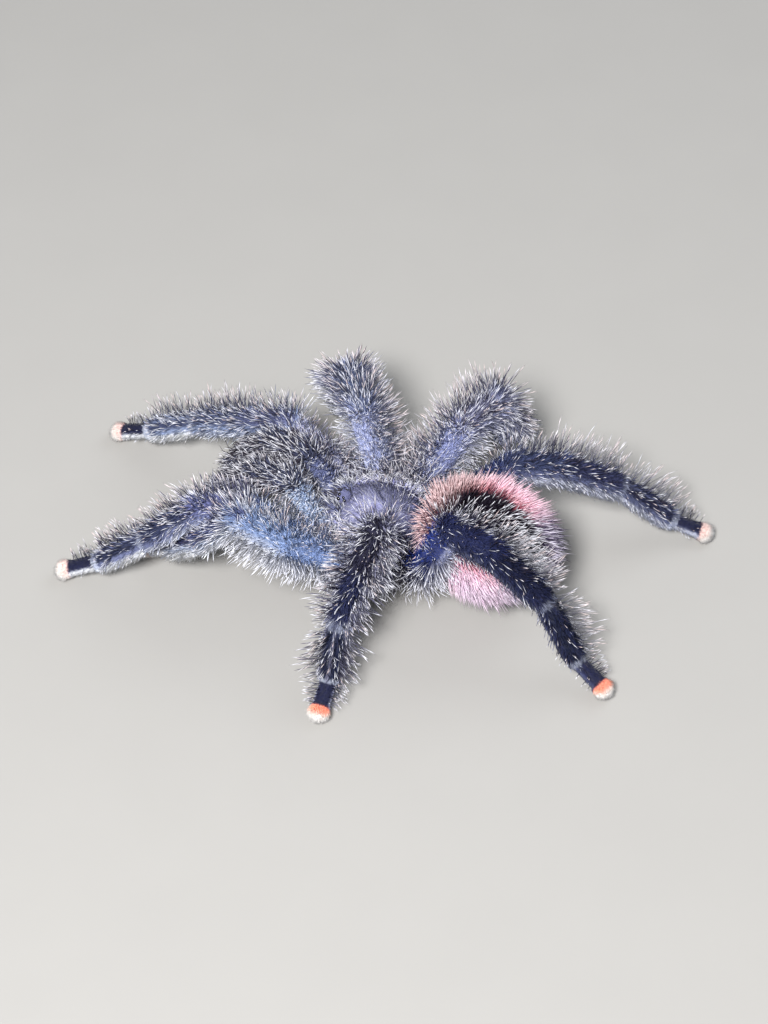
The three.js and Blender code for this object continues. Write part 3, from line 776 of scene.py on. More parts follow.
class Coat:
    """Gathers hairs for one piece of the coat, then makes them one mesh. short_by_eyes is the share
    of its length that a hair keeps beside the eyes."""

    def __init__(self, name, seed, short_by_eyes=0.3):
        self.name, self.short_by_eyes = name, short_by_eyes
        self.rng = np.random.default_rng(MAKER_SEED * 1000 + seed)
        self.points, self.faces, self.colours, self.uvs = [], [], [], []
        self.count = 0

    def trim(self, roots):
        """Hairs round the eyes are short, so that none hangs over them."""
        off_eyes = ease(1.3, 3.4, np.linalg.norm(roots - MOUND_MIDDLE, axis=1))
        return self.short_by_eyes + (1 - self.short_by_eyes) * off_eyes

    def grow(self, roots, outward, forward, unwrap, length, width, lean, stages, curl=0.15):
        """Adds hairs. stages is a list of (share of the length, share of the width, colours)."""
        rng, n = self.rng, len(roots)
        forward = unit(forward - outward * np.sum(forward * outward, axis=1, keepdims=True))
        lean = lean[:, None]
        aim = unit(np.cos(lean) * forward + np.sin(lean) * outward)
        first = unit(np.cross(aim, rng.normal(size=(n, 3))))
        second = np.cross(aim, first)
        length = (length * self.trim(roots))[:, None]
        half = width[:, None] / 2
        bend = (forward - 0.4 * outward + np.clip(rng.normal(0, 0.7, (n, 3)), -1.3, 1.3)) * curl
        points, colours, rise = [], [], []
        for share, wide, colour in stages:
            spine = roots + length * (share * aim + share * share * bend)
            last = share >= 1
            for k in range(1 if last else 3):
                turn = 2 * math.pi * k / 3
                out = 0 if last else wide * half * (math.cos(turn) * first + math.sin(turn) * second)
                points.append(spine + out)
                colours.append(colour)
                rise.append((0.5 if last or k == 2 else float(k), share))
        points = np.stack(points, axis=1)
        points[:, :, 2] = np.maximum(points[:, :, 2], FLOOR_CLEARANCE)
        each = points.shape[1]
        faces = hair_triangles(len(stages) - 1)
        start = self.count + np.arange(n)[:, None, None] * each
        patch = unwrap[:, None, :] + (np.array(rise)[faces.ravel()] - [0.5, 0.5])[None] * BAKE_PATCH
        self.points.append(points.reshape(-1, 3))
        self.colours.append(np.stack(colours, axis=1).reshape(-1, 3))
        self.faces.append((start + faces[None]).reshape(-1, 3))
        self.uvs.append(np.clip(patch, BAKE_EDGE, 1 - BAKE_EDGE).reshape(-1, 2))
        self.count += n * each

    def finish(self, slot):
        points, faces = np.concatenate(self.points), np.concatenate(self.faces)
        mesh = bpy.data.meshes.new(self.name)
        mesh.vertices.add(len(points))
        mesh.vertices.foreach_set("co", ((points + FOOTPRINT_SHIFT) * MM).astype(np.float32).ravel())
        mesh.loops.add(len(faces) * 3)
        mesh.loops.foreach_set("vertex_index", faces.astype(np.int32).ravel())
        mesh.polygons.add(len(faces))
        mesh.polygons.foreach_set("loop_start", np.arange(0, len(faces) * 3, 3, dtype=np.int32))
        mesh.polygons.foreach_set("use_smooth", np.ones(len(faces), bool))
        layer = mesh.uv_layers.new(name="OFBake")
        layer.data.foreach_set("uv", np.concatenate(self.uvs).astype(np.float32).ravel())
        mesh.update(calc_edges=True)
        paint(mesh, np.concatenate(self.colours))
        mesh.materials.append(coat_finish)
        piece = add_piece(self.name, mesh)
        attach(piece, "root")


def scatter_on_rod(rng, rod, rods, density, weigh=None, from_s=-1.0, to_s=2.0):
    """Root places over one rod and its round ends, apart from those buried in its neighbours."""
    r0, r1, length = rod["r0"], rod["r1"], rod["length"]
    low, high = max(from_s * length, -r0), min(to_s * length, length + r1)
    n = int(density * (high - low) * math.pi * (r0 + r1))
    q = rng.uniform(low, high, n)
    turn = rng.uniform(-math.pi, math.pi, n)
    if weigh:
        keep = rng.uniform(size=n) < weigh(q / length, turn)
        q, turn = q[keep], turn[keep]
    on_axis = np.clip(q / length, 0, 1)
    radius = r0 + (r1 - r0) * on_axis - ROOT_DEPTH
    over = np.where(q < 0, q / r0, np.where(q > length, (q - length) / r1, 0))
    tilt = np.arcsin(np.clip(over, -1, 1))
    around = np.cos(turn)[:, None] * rod["back"] + np.sin(turn)[:, None] * rod["across"]
    flattened = around + (rod["flat"] - 1) * np.cos(turn)[:, None] * rod["back"]
    outward = np.cos(tilt)[:, None] * around + np.sin(tilt)[:, None] * rod["along"]
    surface = np.cos(tilt)[:, None] * flattened + np.sin(tilt)[:, None] * rod["along"]
    roots = rod["start"] + (on_axis * length)[:, None] * rod["along"] + radius[:, None] * surface
    keep = roots[:, 2] > ROOT_FLOOR
    for other in rods:
        if other is not rod:
            keep &= rod_places(other, roots)[2] > -ROOT_DEPTH - ROOT_SLACK
    return roots[keep], outward[keep], q[keep] / length, turn[keep]


def forward_on_limb(rods, index, s):
    """The way the coat lies on a limb, turning smoothly from one length into the next."""
    here = rods[index]["along"]
    after = rods[index + 1]["along"] if index + 1 < len(rods) else here
    before = rods[index - 1]["along"] if index else here
    to_next = (ease(0.75, 1.0, s) * 0.5 + ease(1.0, 1.2, s) * 0.5)[:, None]
    from_last = (ease(0.25, 0.0, s) * 0.5 + ease(0.0, -0.2, s) * 0.5)[:, None]
    return here * (1 - to_next - from_last) + after * to_next + before * from_last


UNWRAP_ROOT = 10.0


def unwrapped(lengthwise, around):
    """Places on the unwrap from two shares, a little in from its edges."""
    return np.stack([0.01 + 0.98 * lengthwise, 0.01 + 0.98 * around], axis=1)


def unwrap_on_limb(rods, index, s, turn):
    total = rods[-1]["run"] + rods[-1]["length"]
    u = (rods[index]["run"] + s * rods[index]["length"] + UNWRAP_ROOT) / (total + UNWRAP_ROOT)
    return unwrapped(u, turn / (2 * math.pi) + 0.5)


def unwrap_on_body(index, s, turn):
    """Places on the unwrap of a two-part jaw or spinneret."""
    around = turn / (2 * math.pi) + 0.5
    return np.stack([0.06 + 0.45 * (index + np.clip(s, 0, 1)), 0.02 + 0.96 * around], axis=1)


ROOT_BONES = ("coxa", "trochanter")
LEG_UNDERCOAT = {"coxa": 1.1, "trochanter": 1.2, "femur": 1.3, "patella": 1.5, "tibia": 1.5,
                 "metatarsus": 1.1, "tarsus": 0.55}
LEG_BRISTLES = {"coxa": 2.6, "trochanter": 4.2, "femur": 4.6, "patella": 4.9, "tibia": 4.9,
                "metatarsus": 4.9, "tarsus": 3.3}
# How long the bristles grow on a few single lengths, against the usual.
GROWTH = {
    ("right_leg_2", "trochanter"): 1.4, ("right_leg_3", "trochanter"): 1.4,
    ("left_leg_3", "trochanter"): 0.65, ("left_leg_3", "femur"): 0.68,
}
TOE_TUFT = 1.15
UNDERCOAT_DENSITY = 15.0
DASH_DENSITY = 3.2
BRISTLE_DENSITY = 4.0
TOE_DENSITY = 60.0
WHITE_TIP = srgb(238, 240, 250)
WARM_TIP = srgb(226, 206, 204)
BRISTLE_SHAFT = srgb(52, 46, 56)


def vary(rng, colours, amount):
    """The same colours, each hair a little lighter or darker."""
    return np.clip(colours * np.exp(rng.normal(0, amount, len(colours)))[:, None], 0, 1)


def joint_gap(bone, s, reach=0.12):
    """0 at the narrow joints beyond the knee, where the coat is short, and 1 elsewhere."""
    gap = np.ones(len(s))
    if bone in ("metatarsus", "tarsus"):
        gap = gap * ease(-0.05, reach, s)
    if bone in ("tibia", "metatarsus"):
        gap = gap * ease(1.0, 1 - reach, s)
    return gap


def sleekness(limb, turn):
    """1 on the flank where a limb's bristles are short, 0 on its other one."""
    return ease(0.25, 0.75, turn * HABITS[limb][2])


def is_foot(limb, bone):
    return bone == "tarsus" and limb in LEG_STANCE


def smooth_topped(limb, bone):
    return bone == "femur" or (limb, bone) in FRINGE_START


def in_fringe(limb, bone, turn):
    """1 in the fringe below a length that is smooth on top, 0 elsewhere."""
    if not smooth_topped(limb, bone):
        return np.zeros(len(turn))
    start = FRINGE_START.get((limb, bone), FEMUR_FRINGE)
    return ease(start - 0.1, start + 0.3, np.abs(turn))


def shagginess(limb, bone, turn):
    """1 on the shaggy flank of a limb, 0 elsewhere."""
    flank, _, _, bones = SHAGGY_FLANK.get(limb, PLAIN_FLANK)
    if bone not in bones:
        return np.zeros(len(turn))
    return ease(0.1, 0.5, turn * flank) * ease(2.2, 1.8, np.abs(turn))


def shaggy_growth(limb):
    return 1 + SHAGGY_FLANK.get(limb, PLAIN_FLANK)[1]


def pale_share(limb, bone, turn):
    """Which share of the hairs end pale: nearly all of a fringe, fewer on a short flank."""
    share = HABITS[limb][0]
    if bone in ROOT_BONES:
        return np.full(len(turn), share)
    if is_foot(limb, bone):
        return np.full(len(turn), 0.95)
    if not smooth_topped(limb, bone):
        share = share * (1 - (1 - HABITS[limb][4]) * sleekness(limb, turn))
    return share + (0.97 - share) * np.maximum(in_fringe(limb, bone, turn), shagginess(limb, bone, turn))


def bristle_weight(limb, bone, s, turn):
    """How thickly bristles stand on a length: two dense flanks, a thinner back, few below."""
    off = np.abs(turn)
    if bone in ROOT_BONES:
        return 0.3 + 0.7 * ease(2.4, 1.6, off)
    if smooth_topped(limb, bone):
        fringe = in_fringe(limb, bone, turn)
        if (limb, bone) in SHORT_FRINGES:
            fringe = fringe * ease(0.75, 0.45, s)
        fringe = np.maximum(fringe, shagginess(limb, bone, turn) * 0.9)
        return np.maximum(np.maximum(ease(0.8, 0.5, off) * HABITS[limb][3], fringe), 0.08)
    if is_foot(limb, bone):
        weight = ease(0.45, 0.8, off) * ease(2.0, 1.7, off) * ease(TOE_START, TOE_START - 0.1, s)
        return weight * (1 - 0.7 * sleekness(limb, turn))
    weight = 0.3 + 0.7 * ease(0.35, 0.75, off) - 0.75 * ease(1.6, 2.1, off)
    weight = weight * (1 + 0.6 * shagginess(limb, bone, turn))
    return weight * (1 - 0.72 * sleekness(limb, turn)) * (0.25 + 0.75 * joint_gap(bone, s))


def bristle_reach(limb, bone, s, turn):
    """How long bristles grow, as a share of the longest: shorter on the back and the underside."""
    off = np.abs(turn)
    if bone in ROOT_BONES:
        return np.ones(len(turn))
    if is_foot(limb, bone):
        return (1 - 0.5 * sleekness(limb, turn)) * (1 - 0.35 * ease(0.3, 0.8, s))
    if smooth_topped(limb, bone):
        start = FRINGE_START.get((limb, bone), FEMUR_FRINGE)
        reach = 1 - 0.5 * ease(0.5, 0.9, off) * ease(start + 0.2, start - 0.1, off)
        reach = reach - 0.2 * ease(2.7, 3.1, off)
        shaggy = shagginess(limb, bone, turn)
        return reach * (1 - shaggy) + shaggy_growth(limb) * shaggy
    reach = (0.7 + 0.3 * ease(0.3, 0.8, off)) * (1 - 0.72 * ease(1.45, 2.0, off))
    reach = reach * (1 + (shaggy_growth(limb) - 1) * shagginess(limb, bone, turn))
    return reach * (1 - 0.45 * sleekness(limb, turn)) * (0.6 + 0.4 * joint_gap(bone, s, 0.25))


def grow_limb_hair(coat, limb, rods, index, undercoat, bristles, thickness=1.0):
    """Undercoat, short pale hairs lying through it, and standing bristles over one length of a limb."""
    rng, rod = coat.rng, rods[index]
    bone = rod["name"]
    foot = is_foot(limb, bone)
    to_s = TOE_START if foot else 2.0
    stripe = HABITS[limb][1]

    roots, outward, s, turn = scatter_on_rod(
        rng, rod, rods, UNDERCOAT_DENSITY * (1.8 if foot else 1.0), to_s=to_s)
    n = len(roots)
    shade = limb_colour(limb, bone, s, turn)
    below = ease(1.3, 1.8, np.abs(turn))
    soft = 0.7 if limb in WHITE_SOLES and bone in ("metatarsus", "tarsus") else SOFT_BELOW.get(limb, -0.4)
    coat.grow(
        roots, outward, forward_on_limb(rods, index, s) + rng.normal(0, 0.22, (n, 3)),
        unwrap_on_limb(rods, index, s, turn),
        undercoat * rng.uniform(0.75, 1.15, n) * (0.5 + 0.5 * joint_gap(bone, s, 0.2)) * (1 + soft * below),
        rng.uniform(0.14, 0.2, n) * (0.7 if foot else 1.0), np.radians(rng.normal(34, 8, n)),
        [(0.0, 1.0, vary(rng, shade * 0.7, 0.12)), (1.0, 0.0, vary(rng, shade * 1.3, 0.25))],
        curl=0.1,
    )

    if not foot:
        roots, outward, s, turn = scatter_on_rod(
            rng, rod, rods, DASH_DENSITY * thickness,
            lambda s, turn: (0.5 + 0.5 * joint_gap(bone, s)) * (1 - 0.6 * ease(1.35, 1.7, np.abs(turn)))
            * (1 - 0.6 * sleekness(limb, turn)))
        n = len(roots)
        shade = limb_colour(limb, bone, s, turn)
        on_back = ease(0.8, 0.5, np.abs(turn)) * stripe
        pale = rng.uniform(size=n) < pale_share(limb, bone, turn) * (1 - on_back)
        tip = blend(np.clip(shade * 1.4, 0, 1), WHITE_TIP, pale * rng.uniform(0.5, 1.0, n))
        coat.grow(
            roots, outward, forward_on_limb(rods, index, s) + rng.normal(0, 0.4, (n, 3)),
            unwrap_on_limb(rods, index, s, turn),
            (undercoat + 0.6) * rng.uniform(0.8, 1.25, n) * (0.5 + 0.5 * joint_gap(bone, s, 0.25)),
            rng.uniform(0.1, 0.15, n), np.radians(rng.normal(44, 10, n)),
            [(0.0, 0.8, vary(rng, shade * 0.7, 0.15)), (0.72, 1.0, vary(rng, tip * 0.9, 0.12)),
             (1.0, 0.0, tip)],
            curl=0.25,
        )

    roots, outward, s, turn = scatter_on_rod(
        rng, rod, rods, BRISTLE_DENSITY * thickness,
        lambda s, turn: bristle_weight(limb, bone, s, turn), to_s=to_s)
    n = len(roots)
    shade = limb_colour(limb, bone, s, turn)
    warm = rng.uniform(0, 1, n) * np.maximum(ease(1.5, 0.7, np.abs(turn)), shagginess(limb, bone, turn))
    loose = bone in ROOT_BONES or limb in PALP_STANCE
    warm = warm * (0.35 if loose else 1.0)
    on_back = ease(0.7, 0.4, np.abs(turn)) * stripe
    pale = rng.uniform(size=n) < pale_share(limb, bone, turn) * (1 - 0.7 * on_back)
    # Shafts on the root lengths and on the palps are darker; on the root lengths this is painted shade of the
    # gaps between the leg bases.
    shaft = blend(shade * 0.7, BRISTLE_SHAFT, np.maximum(0.5 + 0.4 * warm, 0.85 * loose))
    frost = SHAGGY_FLANK.get(limb, PLAIN_FLANK)[2] * shagginess(limb, bone, turn)
    shaft = blend(shaft, WHITE_TIP, np.maximum(0.4 * in_fringe(limb, bone, turn), frost))
    tip = blend(WHITE_TIP, WARM_TIP, warm)
    tip = blend(shaft * 1.4, tip, pale * rng.uniform(0.7, 1.0, n))
    coat.grow(
        roots, outward, forward_on_limb(rods, index, s) + rng.normal(0, 0.45 if loose else 0.28, (n, 3)),
        unwrap_on_limb(rods, index, s, turn),
        bristles * rng.uniform(0.6, 1.12, n) * bristle_reach(limb, bone, s, turn),
        rng.uniform(0.1, 0.145, n),
        np.radians(rng.normal(66 if loose else 78, 16 if loose else 9, n)),
        [(0.0, 0.8, vary(rng, shade * 0.6, 0.2)), (0.58, 0.85, vary(rng, shaft, 0.2)),
         (0.84, 1.0, vary(rng, tip * 0.95, 0.1)), (1.0, 0.0, tip)],
        curl=0.42 if loose else 0.1,
    )


def grow_toe_tuft(coat, limb, rods):
    """The dense round tuft of pale hairs that hides the claws at the end of a foot."""
    rng, index = coat.rng, len(rods) - 1
    roots, outward, s, turn = scatter_on_rod(rng, rods[index], rods, TOE_DENSITY, from_s=TOE_START - 0.04)
    n = len(roots)
    shade = limb_colour(limb, "tarsus", s + 0.03, turn)
    coat.grow(
        roots, outward, forward_on_limb(rods, index, s) + rng.normal(0, 0.2, (n, 3)),
        unwrap_on_limb(rods, index, s, turn),
        TOE_TUFT * rng.uniform(0.8, 1.1, n) * (0.6 + 0.4 * ease(TOE_START, 1.0, s)),
        rng.uniform(0.1, 0.14, n), np.radians(rng.normal(55, 9, n)),
        [(0.0, 1.0, vary(rng, shade * 0.9, 0.06)), (1.0, 0.0, vary(rng, shade * 1.2, 0.06))],
        curl=0.1,
    )


for seed, limb in enumerate(LEG_STANCE):
    rods = LIMBS[limb]
    leg_coat = Coat(limb + "_coat", seed)
    foot_coat = Coat(limb + "_foot_coat", 20 + seed)
    coxa_first = [COXA_RODS[limb]] + rods
    grow_limb_hair(leg_coat, limb, coxa_first, 0, LEG_UNDERCOAT["coxa"], LEG_BRISTLES["coxa"])
    for index, rod in enumerate(rods):
        bone = rod["name"]
        coat = foot_coat if bone == "tarsus" else leg_coat
        growth = GROWTH.get((limb, bone), 1.0)
        grow_limb_hair(coat, limb, rods, index, LEG_UNDERCOAT[bone], LEG_BRISTLES[bone] * growth)
    grow_toe_tuft(foot_coat, limb, rods)
    leg_coat.finish("leg_coat")
    foot_coat.finish("foot_coat")

# Coat of the palps. The two feelers beside the jaws are the shaggiest limbs for their size, grey
# black with pale-tipped hairs, and they end in soft blunt pads without pink.
PALP_UNDERCOAT = {"trochanter": 1.1, "femur": 1.2, "patella": 1.6, "tibia": 1.7, "tarsus": 1.4}
PALP_BRISTLES = {"trochanter": 2.2, "femur": 2.5, "patella": 3.1, "tibia": 3.2, "tarsus": 2.6}
PALP_THICKNESS = 1.7
for seed, limb in enumerate(PALP_STANCE):
    rods = LIMBS[limb]
    coat = Coat(limb + "_coat", 40 + seed)
    for index, rod in enumerate(rods):
        bone = rod["name"]
        grow_limb_hair(coat, limb, rods, index, PALP_UNDERCOAT[bone], PALP_BRISTLES[bone], PALP_THICKNESS)
    coat.finish("leg_coat")

# Coat of the abdomen. Long fine hairs stand out all round the soft rear body and lean to the rear:
# black under white-tipped hairs on the back, a broad ring of pink round the flanks, grey behind.
def scatter_on_egg(rng, middle, half, n):
    """Root places spread evenly over an egg, with the way out of its surface."""
    way = unit(rng.normal(size=(n * 2, 3)))
    stretch = np.linalg.norm(way / half, axis=1)
    keep = rng.uniform(size=n * 2) < stretch / stretch.max()
    way = way[keep][:n]
    return middle + half * way, unit(way / half), way


def unwrap_on_egg(way):
    around = np.arctan2(way[:, 0], way[:, 2]) / (2 * math.pi) + 0.5
    lengthwise = np.arccos(np.clip(-way[:, 1], -1, 1)) / math.pi
    return unwrapped(lengthwise, around)


ABDOMEN_UNDERCOAT = 9000
ABDOMEN_HAIRS = 12000
EGG_ROOT_DEPTH = 0.25
LEG_ROOM = 0.15
PINK_SHAFT = srgb(214, 134, 168)
PINK_TIP = srgb(250, 216, 230)
GREY_TIP = srgb(214, 208, 226)
GREY_SHAFT = srgb(62, 54, 78)
BLACK_HAIR = srgb(24, 19, 32)
RED_SHAFT = srgb(140, 60, 74)
ROSE_TIP = srgb(206, 124, 138)
LILAC_TIP = srgb(230, 218, 238)
MAUVE_SHAFT = srgb(196, 150, 178)
BROWN_SHAFT = srgb(104, 58, 64)
CREAM_TIP = srgb(250, 226, 228)
HINDWARD = SWUNG @ REARWARD


def clear_of_legs(points):
    """Which places lie outside the flesh of the last legs, which stand against the abdomen."""
    clear = np.ones(len(points), bool)
    for limb in ("left_leg_4", "right_leg_4"):
        for rod in LIMBS[limb][:4]:
            clear &= rod_places(rod, points)[2] > LEG_ROOM
    return clear


egg_half = ABDOMEN_HALF - EGG_ROOT_DEPTH
abdomen_undercoat = Coat("abdomen_undercoat", 60)
rng = abdomen_undercoat.rng
roots, outward, way = scatter_on_egg(rng, ABDOMEN_MIDDLE, egg_half, ABDOMEN_UNDERCOAT)
roots, outward = swung(roots), outward @ SWUNG.T
n = len(roots)
shade = abdomen_colour(roots)
abdomen_undercoat.grow(
    roots, outward, HINDWARD + rng.normal(0, 0.3, (n, 3)), unwrap_on_egg(way),
    rng.uniform(1.8, 3.0, n), rng.uniform(0.16, 0.24, n), np.radians(rng.normal(45, 10, n)),
    [(0.0, 1.0, vary(rng, shade * 0.7, 0.2)), (1.0, 0.0, vary(rng, shade * 1.2, 0.2))],
)
abdomen_undercoat.finish("abdomen_coat")

abdomen_coat = Coat("abdomen_coat", 61)
rng = abdomen_coat.rng
roots, outward, way = scatter_on_egg(rng, ABDOMEN_MIDDLE, egg_half, ABDOMEN_HAIRS)
roots, outward = swung(roots), outward @ SWUNG.T
keep = way[:, 1] > -0.93
for height in (1.5, 3.0, 4.5):
    keep &= clear_of_legs(roots + outward * height)
roots, outward, way = roots[keep], outward[keep], way[keep]
n = len(roots)
pink, black, _, turn = abdomen_zones(roots)
front = ease(-0.14, -0.62, way[:, 1])
red = ease(1.06, 0.82, np.abs(turn)) * (1 - 0.8 * ease(0.0, 0.5, turn))
pink_shaft = blend(PINK_SHAFT, RED_SHAFT, red)
pink_shaft = blend(pink_shaft, BROWN_SHAFT, front * 0.9)
pink_shaft = blend(pink_shaft, MAUVE_SHAFT, ease(0.82, 1.22, turn) * 0.7)
pink_tip = blend(ROSE_TIP, PINK_TIP, ease(0.76, 0.94, np.abs(turn)))
pink_tip = blend(blend(pink_tip, LILAC_TIP, ease(0.72, 1.22, turn) * 0.8), CREAM_TIP, front * 0.9)
white = rng.uniform(size=n) < 0.08 + 0.45 * ease(-0.5, 0.2, turn) + 0.5 * ease(0.0, 0.5, way[:, 1])
back_tip = np.where(white[:, None], WHITE_TIP, BLACK_HAIR * 1.3)
shaft = in_zones(pink, black, pink_shaft, BLACK_HAIR, GREY_SHAFT)
grey_tip = np.where(rng.uniform(size=n)[:, None] < 0.6, GREY_TIP, GREY_SHAFT * 1.5)
tip = in_zones(pink, black, pink_tip, back_tip, grey_tip)
stand = 70 + 10 * ease(-0.2, -0.8, way[:, 1]) - 24 * ease(0.62, 1.12, turn)
long = (5.8 - 2.4 * ease(1.85, 2.4, np.abs(turn))) * (1 - 0.25 * black) * (1 - 0.2 * front)
abdomen_coat.grow(
    roots, outward, HINDWARD + rng.normal(0, 0.24, (n, 3)), unwrap_on_egg(way),
    long * rng.uniform(0.7, 1.1, n), rng.uniform(0.14, 0.2, n), np.radians(stand + rng.normal(0, 7, n)),
    [(0.0, 0.9, vary(rng, abdomen_colour(roots) * 0.8, 0.2)), (0.45, 1.0, vary(rng, shaft, 0.12)),
     (0.76, 0.9, vary(rng, blend(shaft, tip, 0.85 - 0.4 * front), 0.1)), (1.0, 0.0, tip)],
    curl=0.14,
)
abdomen_coat.finish("abdomen_coat")

SPINNERET_DENSITY = 30.0
spinneret_coat = Coat("spinneret_coat", 62)
rng = spinneret_coat.rng
for side in SIDES.values():
    pair = spinneret_rods(side)
    for index, rod in enumerate(pair):
        roots, outward, s, turn = scatter_on_rod(rng, rod, pair, SPINNERET_DENSITY)
        n = len(roots)
        shade = np.broadcast_to(REAR_GREY, (n, 3))
        unwrap = unwrap_on_body(index, s, turn) * [0.5, 1.0] + [0.25 + 0.25 * side, 0.0]
        spinneret_coat.grow(
            roots, outward, forward_on_limb(pair, index, s) + rng.normal(0, 0.2, (n, 3)), unwrap,
            rng.uniform(0.6, 1.2, n), rng.uniform(0.1, 0.14, n), np.radians(rng.normal(40, 12, n)),
            [(0.0, 1.0, vary(rng, shade, 0.2)), (1.0, 0.0, vary(rng, shade * 2.2, 0.3))],
        )
spinneret_coat.finish("spinneret")

# Coat of the shield and the jaws. Very short fine hairs lie flat on the carapace, combed outwards
# from its middle pit, and longer pale ones curl over its rim; the jaws carry grey pale-tipped hairs.
SHIELD_HAIRS = 13000
RIM_HAIRS = 2600
SHIELD_STEP = 0.01
COMB_Z = 9.0


def lay_on_shield(rng, n, from_ring):
    """Root places on the shield beyond from_ring, with the way out of it and away from its pit."""
    ring = np.sqrt(rng.uniform(from_ring ** 2, 0.98, n))
    spoke = rng.uniform(0, SHIELD_SPOKES, n)
    roots = shield_points(spoke, ring)
    off_mound = np.linalg.norm((roots - MOUND_MIDDLE) / MOUND_HALF, axis=1) > 1
    roots, ring, spoke = roots[off_mound], ring[off_mound], spoke[off_mound]
    beside = shield_points(spoke + SHIELD_STEP, ring) - roots
    ahead = shield_points(spoke, ring + SHIELD_STEP) - roots
    outward = np.cross(ahead, beside)
    outward = outward / np.maximum(np.linalg.norm(outward, axis=1, keepdims=True), 1e-9)
    outward = outward * np.sign(outward[:, 2:3] + 1e-9)
    comb = roots - np.array([0.0, FOVEA_Y, COMB_Z])
    comb = comb / np.maximum(np.linalg.norm(comb, axis=1, keepdims=True), 0.5)
    turn = spoke / SHIELD_SPOKES * 2 * math.pi
    unwrap = np.stack([0.5 + 0.48 * ring * np.cos(turn), 0.5 + 0.48 * ring * np.sin(turn)], axis=1)
    return roots - outward * 0.1, outward, comb, unwrap, ring


shield_coat = Coat("carapace_coat", 70, short_by_eyes=0.5)
rng = shield_coat.rng
roots, outward, comb, unwrap, ring = lay_on_shield(rng, SHIELD_HAIRS, 0.0)
n = len(roots)
# The short hairs take the shield's colour, painted shade of its pit and grooves included.
shade = shield_colour(roots)
shield_coat.grow(
    roots, outward, comb + rng.normal(0, 0.16, (n, 3)), unwrap, rng.uniform(1.0, 2.0, n),
    rng.uniform(0.1, 0.16, n), np.radians(rng.normal(18, 7, n)),
    [(0.0, 1.0, vary(rng, shade * 0.5, 0.3)),
     (1.0, 0.0, vary(rng, blend(np.clip(shade * 1.2, 0, 1), WHITE_TIP,
                                rng.uniform(0, 0.7, n) * (1 - 0.6 * ease(1.5, 5.0, roots[:, 1]))), 0.3))],
    curl=0.05,
)
roots, outward, comb, unwrap, ring = lay_on_shield(rng, RIM_HAIRS, 0.8)
n = len(roots)
pale = np.broadcast_to(WHITE_TIP, (n, 3))
shield_coat.grow(
    roots, outward, comb + rng.normal(0, 0.5, (n, 3)), unwrap,
    rng.uniform(1.6, 3.6, n) * ease(0.6, 0.95, ring), rng.uniform(0.1, 0.15, n),
    np.radians(rng.normal(42, 16, n)),
    [(0.0, 0.9, vary(rng, shield_colour(roots) * 0.7, 0.2)), (0.4, 1.0, vary(rng, shield_colour(roots), 0.2)),
     (0.75, 1.0, vary(rng, pale * 0.8, 0.15)), (1.0, 0.0, pale)],
    curl=0.4,
)
shield_coat.finish("carapace")

MOUND_HAIRS = 2000
EYE_ROOM = 1.2
mound_coat = Coat("eye_mound_coat", 71, short_by_eyes=1.0)
rng = mound_coat.rng
roots, outward, way = scatter_on_egg(rng, MOUND_MIDDLE, MOUND_HALF - 0.05, MOUND_HAIRS)
clear = way[:, 2] > -0.7
for eye, radius in EYES:
    clear &= np.linalg.norm(roots - eye, axis=1) > radius * EYE_ROOM
roots, outward, way = roots[clear], outward[clear], way[clear]
n = len(roots)
shade = np.broadcast_to(SHIELD_PALE, (n, 3))
mound_coat.grow(
    roots, outward, outward * [1, 1, 0] + rng.normal(0, 0.3, (n, 3)), unwrap_on_egg(way),
    rng.uniform(0.18, 0.4, n), rng.uniform(0.05, 0.07, n), np.radians(rng.normal(30, 8, n)),
    [(0.0, 1.0, vary(rng, shade * 0.4, 0.2)),
     (1.0, 0.0, blend(shade, WHITE_TIP, rng.uniform(0, 0.8, n) ** 2))],
)
mound_coat.finish("eyes")

JAW_COLOUR = srgb(116, 122, 160)
JAW_COAT_DENSITY = 20.0
JAW_BRISTLE_DENSITY = 3.0
for label, side in SIDES.items():
    coat = Coat(label + "_jaw_coat", 73 + side)
    rng = coat.rng
    jaw_rods = body_rods(JAW_POINTS, JAW_FLESH, side)
    for index, rod in enumerate(jaw_rods):
        roots, outward, s, turn = scatter_on_rod(rng, rod, jaw_rods, JAW_COAT_DENSITY)
        n = len(roots)
        shade = np.broadcast_to(JAW_COLOUR, (n, 3))
        coat.grow(
            roots, outward, forward_on_limb(jaw_rods, index, s) + rng.normal(0, 0.2, (n, 3)),
            unwrap_on_body(index, s, turn), rng.uniform(0.8, 1.3, n), rng.uniform(0.12, 0.17, n),
            np.radians(rng.normal(32, 9, n)),
            [(0.0, 1.0, vary(rng, shade * 0.6, 0.2)), (1.0, 0.0, vary(rng, shade * 1.3, 0.25))],
        )
        roots, outward, s, turn = scatter_on_rod(rng, rod, jaw_rods, JAW_BRISTLE_DENSITY)
        n = len(roots)
        shade = np.broadcast_to(JAW_COLOUR, (n, 3))
        pale = np.broadcast_to(WHITE_TIP, (n, 3))
        coat.grow(
            roots, outward, forward_on_limb(jaw_rods, index, s) + rng.normal(0, 0.3, (n, 3)),
            unwrap_on_body(index, s, turn), rng.uniform(1.5, 2.8, n), rng.uniform(0.11, 0.15, n),
            np.radians(rng.normal(52, 12, n)),
            [(0.0, 0.8, vary(rng, shade * 0.5, 0.2)), (0.6, 1.0, vary(rng, pale * 0.7, 0.2)),
             (1.0, 0.0, pale)],
            curl=0.3,
        )
    coat.finish("chelicera")

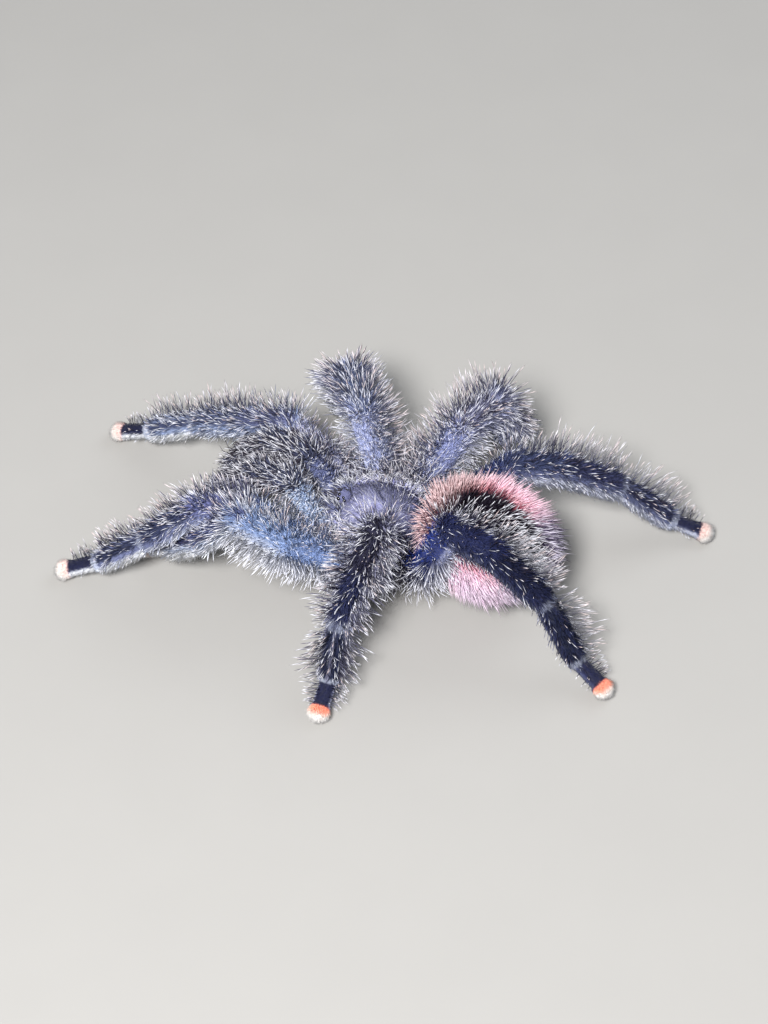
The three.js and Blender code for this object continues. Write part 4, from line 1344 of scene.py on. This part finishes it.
# Coat of the underside. Short dark velvet covers the breast plate between the legs, with a few
# longer grey hairs.
UNDERSIDE_HAIRS = 5200
under_coat = Coat("underside_coat", 80)
rng = under_coat.rng
roots, outward, way = scatter_on_egg(rng, PROSOMA_MIDDLE, PROSOMA_HALF - 0.15, UNDERSIDE_HAIRS)
below = way[:, 2] < 0.1
roots, outward, way = roots[below], outward[below], way[below]
n = len(roots)
shade = np.broadcast_to(BODY_VELVET, (n, 3))
long = np.where(rng.uniform(size=n) < 0.2, 2.2, 1.1)
under_coat.grow(
    roots, outward, REARWARD + rng.normal(0, 0.3, (n, 3)), unwrap_on_egg(way),
    long * rng.uniform(0.8, 1.2, n), rng.uniform(0.13, 0.19, n), np.radians(rng.normal(40, 12, n)),
    [(0.0, 1.0, vary(rng, shade * 0.8, 0.2)), (1.0, 0.0, vary(rng, shade * 2.0, 0.4))],
)
under_coat.finish("underside")

# Studio. A pale matt table under a wide soft key light, with weak fill from the other side and a
# faint cool sky all round, seen by one camera from the spider's left and above.
CAMERA_AZIMUTH = math.radians(109.5)
CAMERA_ELEVATION = math.radians(49.1)
CAMERA_DISTANCE = 450.0
LENS_LENGTH = 62.72
AIM = np.array([0.0, 0.0, 10.0]) + FOOTPRINT_SHIFT
to_right = np.array([math.cos(CAMERA_AZIMUTH), math.sin(CAMERA_AZIMUTH), 0.0])
to_camera = np.array([
    math.sin(CAMERA_AZIMUTH) * math.cos(CAMERA_ELEVATION),
    -math.cos(CAMERA_AZIMUTH) * math.cos(CAMERA_ELEVATION),
    math.sin(CAMERA_ELEVATION),
])
picture_up = np.cross(to_camera, to_right)
AIM_RIGHT = 0.185
AIM_DOWN = 0.52
aim = AIM + to_right * AIM_RIGHT - picture_up * AIM_DOWN
lens = bpy.data.cameras.new("camera")
lens.sensor_fit = "VERTICAL"
lens.sensor_height = 24.0
lens.lens = LENS_LENGTH
lens.clip_start = 0.01
camera = add_piece("camera", lens)
camera.location = Vector((aim + to_camera * CAMERA_DISTANCE) * MM)
camera.rotation_euler = Vector(-to_camera).to_track_quat("-Z", "Y").to_euler()
bpy.context.scene.camera = camera
bpy.context.scene.view_settings.view_transform = "Standard"

TABLE_HALF = 1500
table_corners = [(x * TABLE_HALF, y * TABLE_HALF, 0) for x, y in ((-1, -1), (1, -1), (1, 1), (-1, 1))]
table = mesh_object("table", table_corners, [(0, 1, 2, 3)], smooth=False)
table.data.materials.append(coat_material("table_matt", 60.0, 0.02, 0.8, colour=srgb(154, 153, 151)))


def soft_light(name, place, size, power, colour):
    light = bpy.data.lights.new(name, "AREA")
    light.shape = "DISK"
    light.size = size * MM
    light.energy = power
    light.color = colour
    lamp = add_piece(name, light)
    lamp.location = Vector(np.array(place, float) * MM)
    lamp.rotation_euler = (-lamp.location).to_track_quat("-Z", "Y").to_euler()


soft_light("key", (440, 10, 570), 200, 9.9, (1.0, 0.98, 0.96))
soft_light("fill", (-500, 300, 500), 600, 2.0, (0.93, 0.96, 1.0))
world = bpy.data.worlds.new("studio")
bpy.context.scene.world = world
world.use_nodes = True
world.node_tree.nodes["Background"].inputs["Color"].default_value = (0.85, 0.88, 0.92, 1)
world.node_tree.nodes["Background"].inputs["Strength"].default_value = 0.37
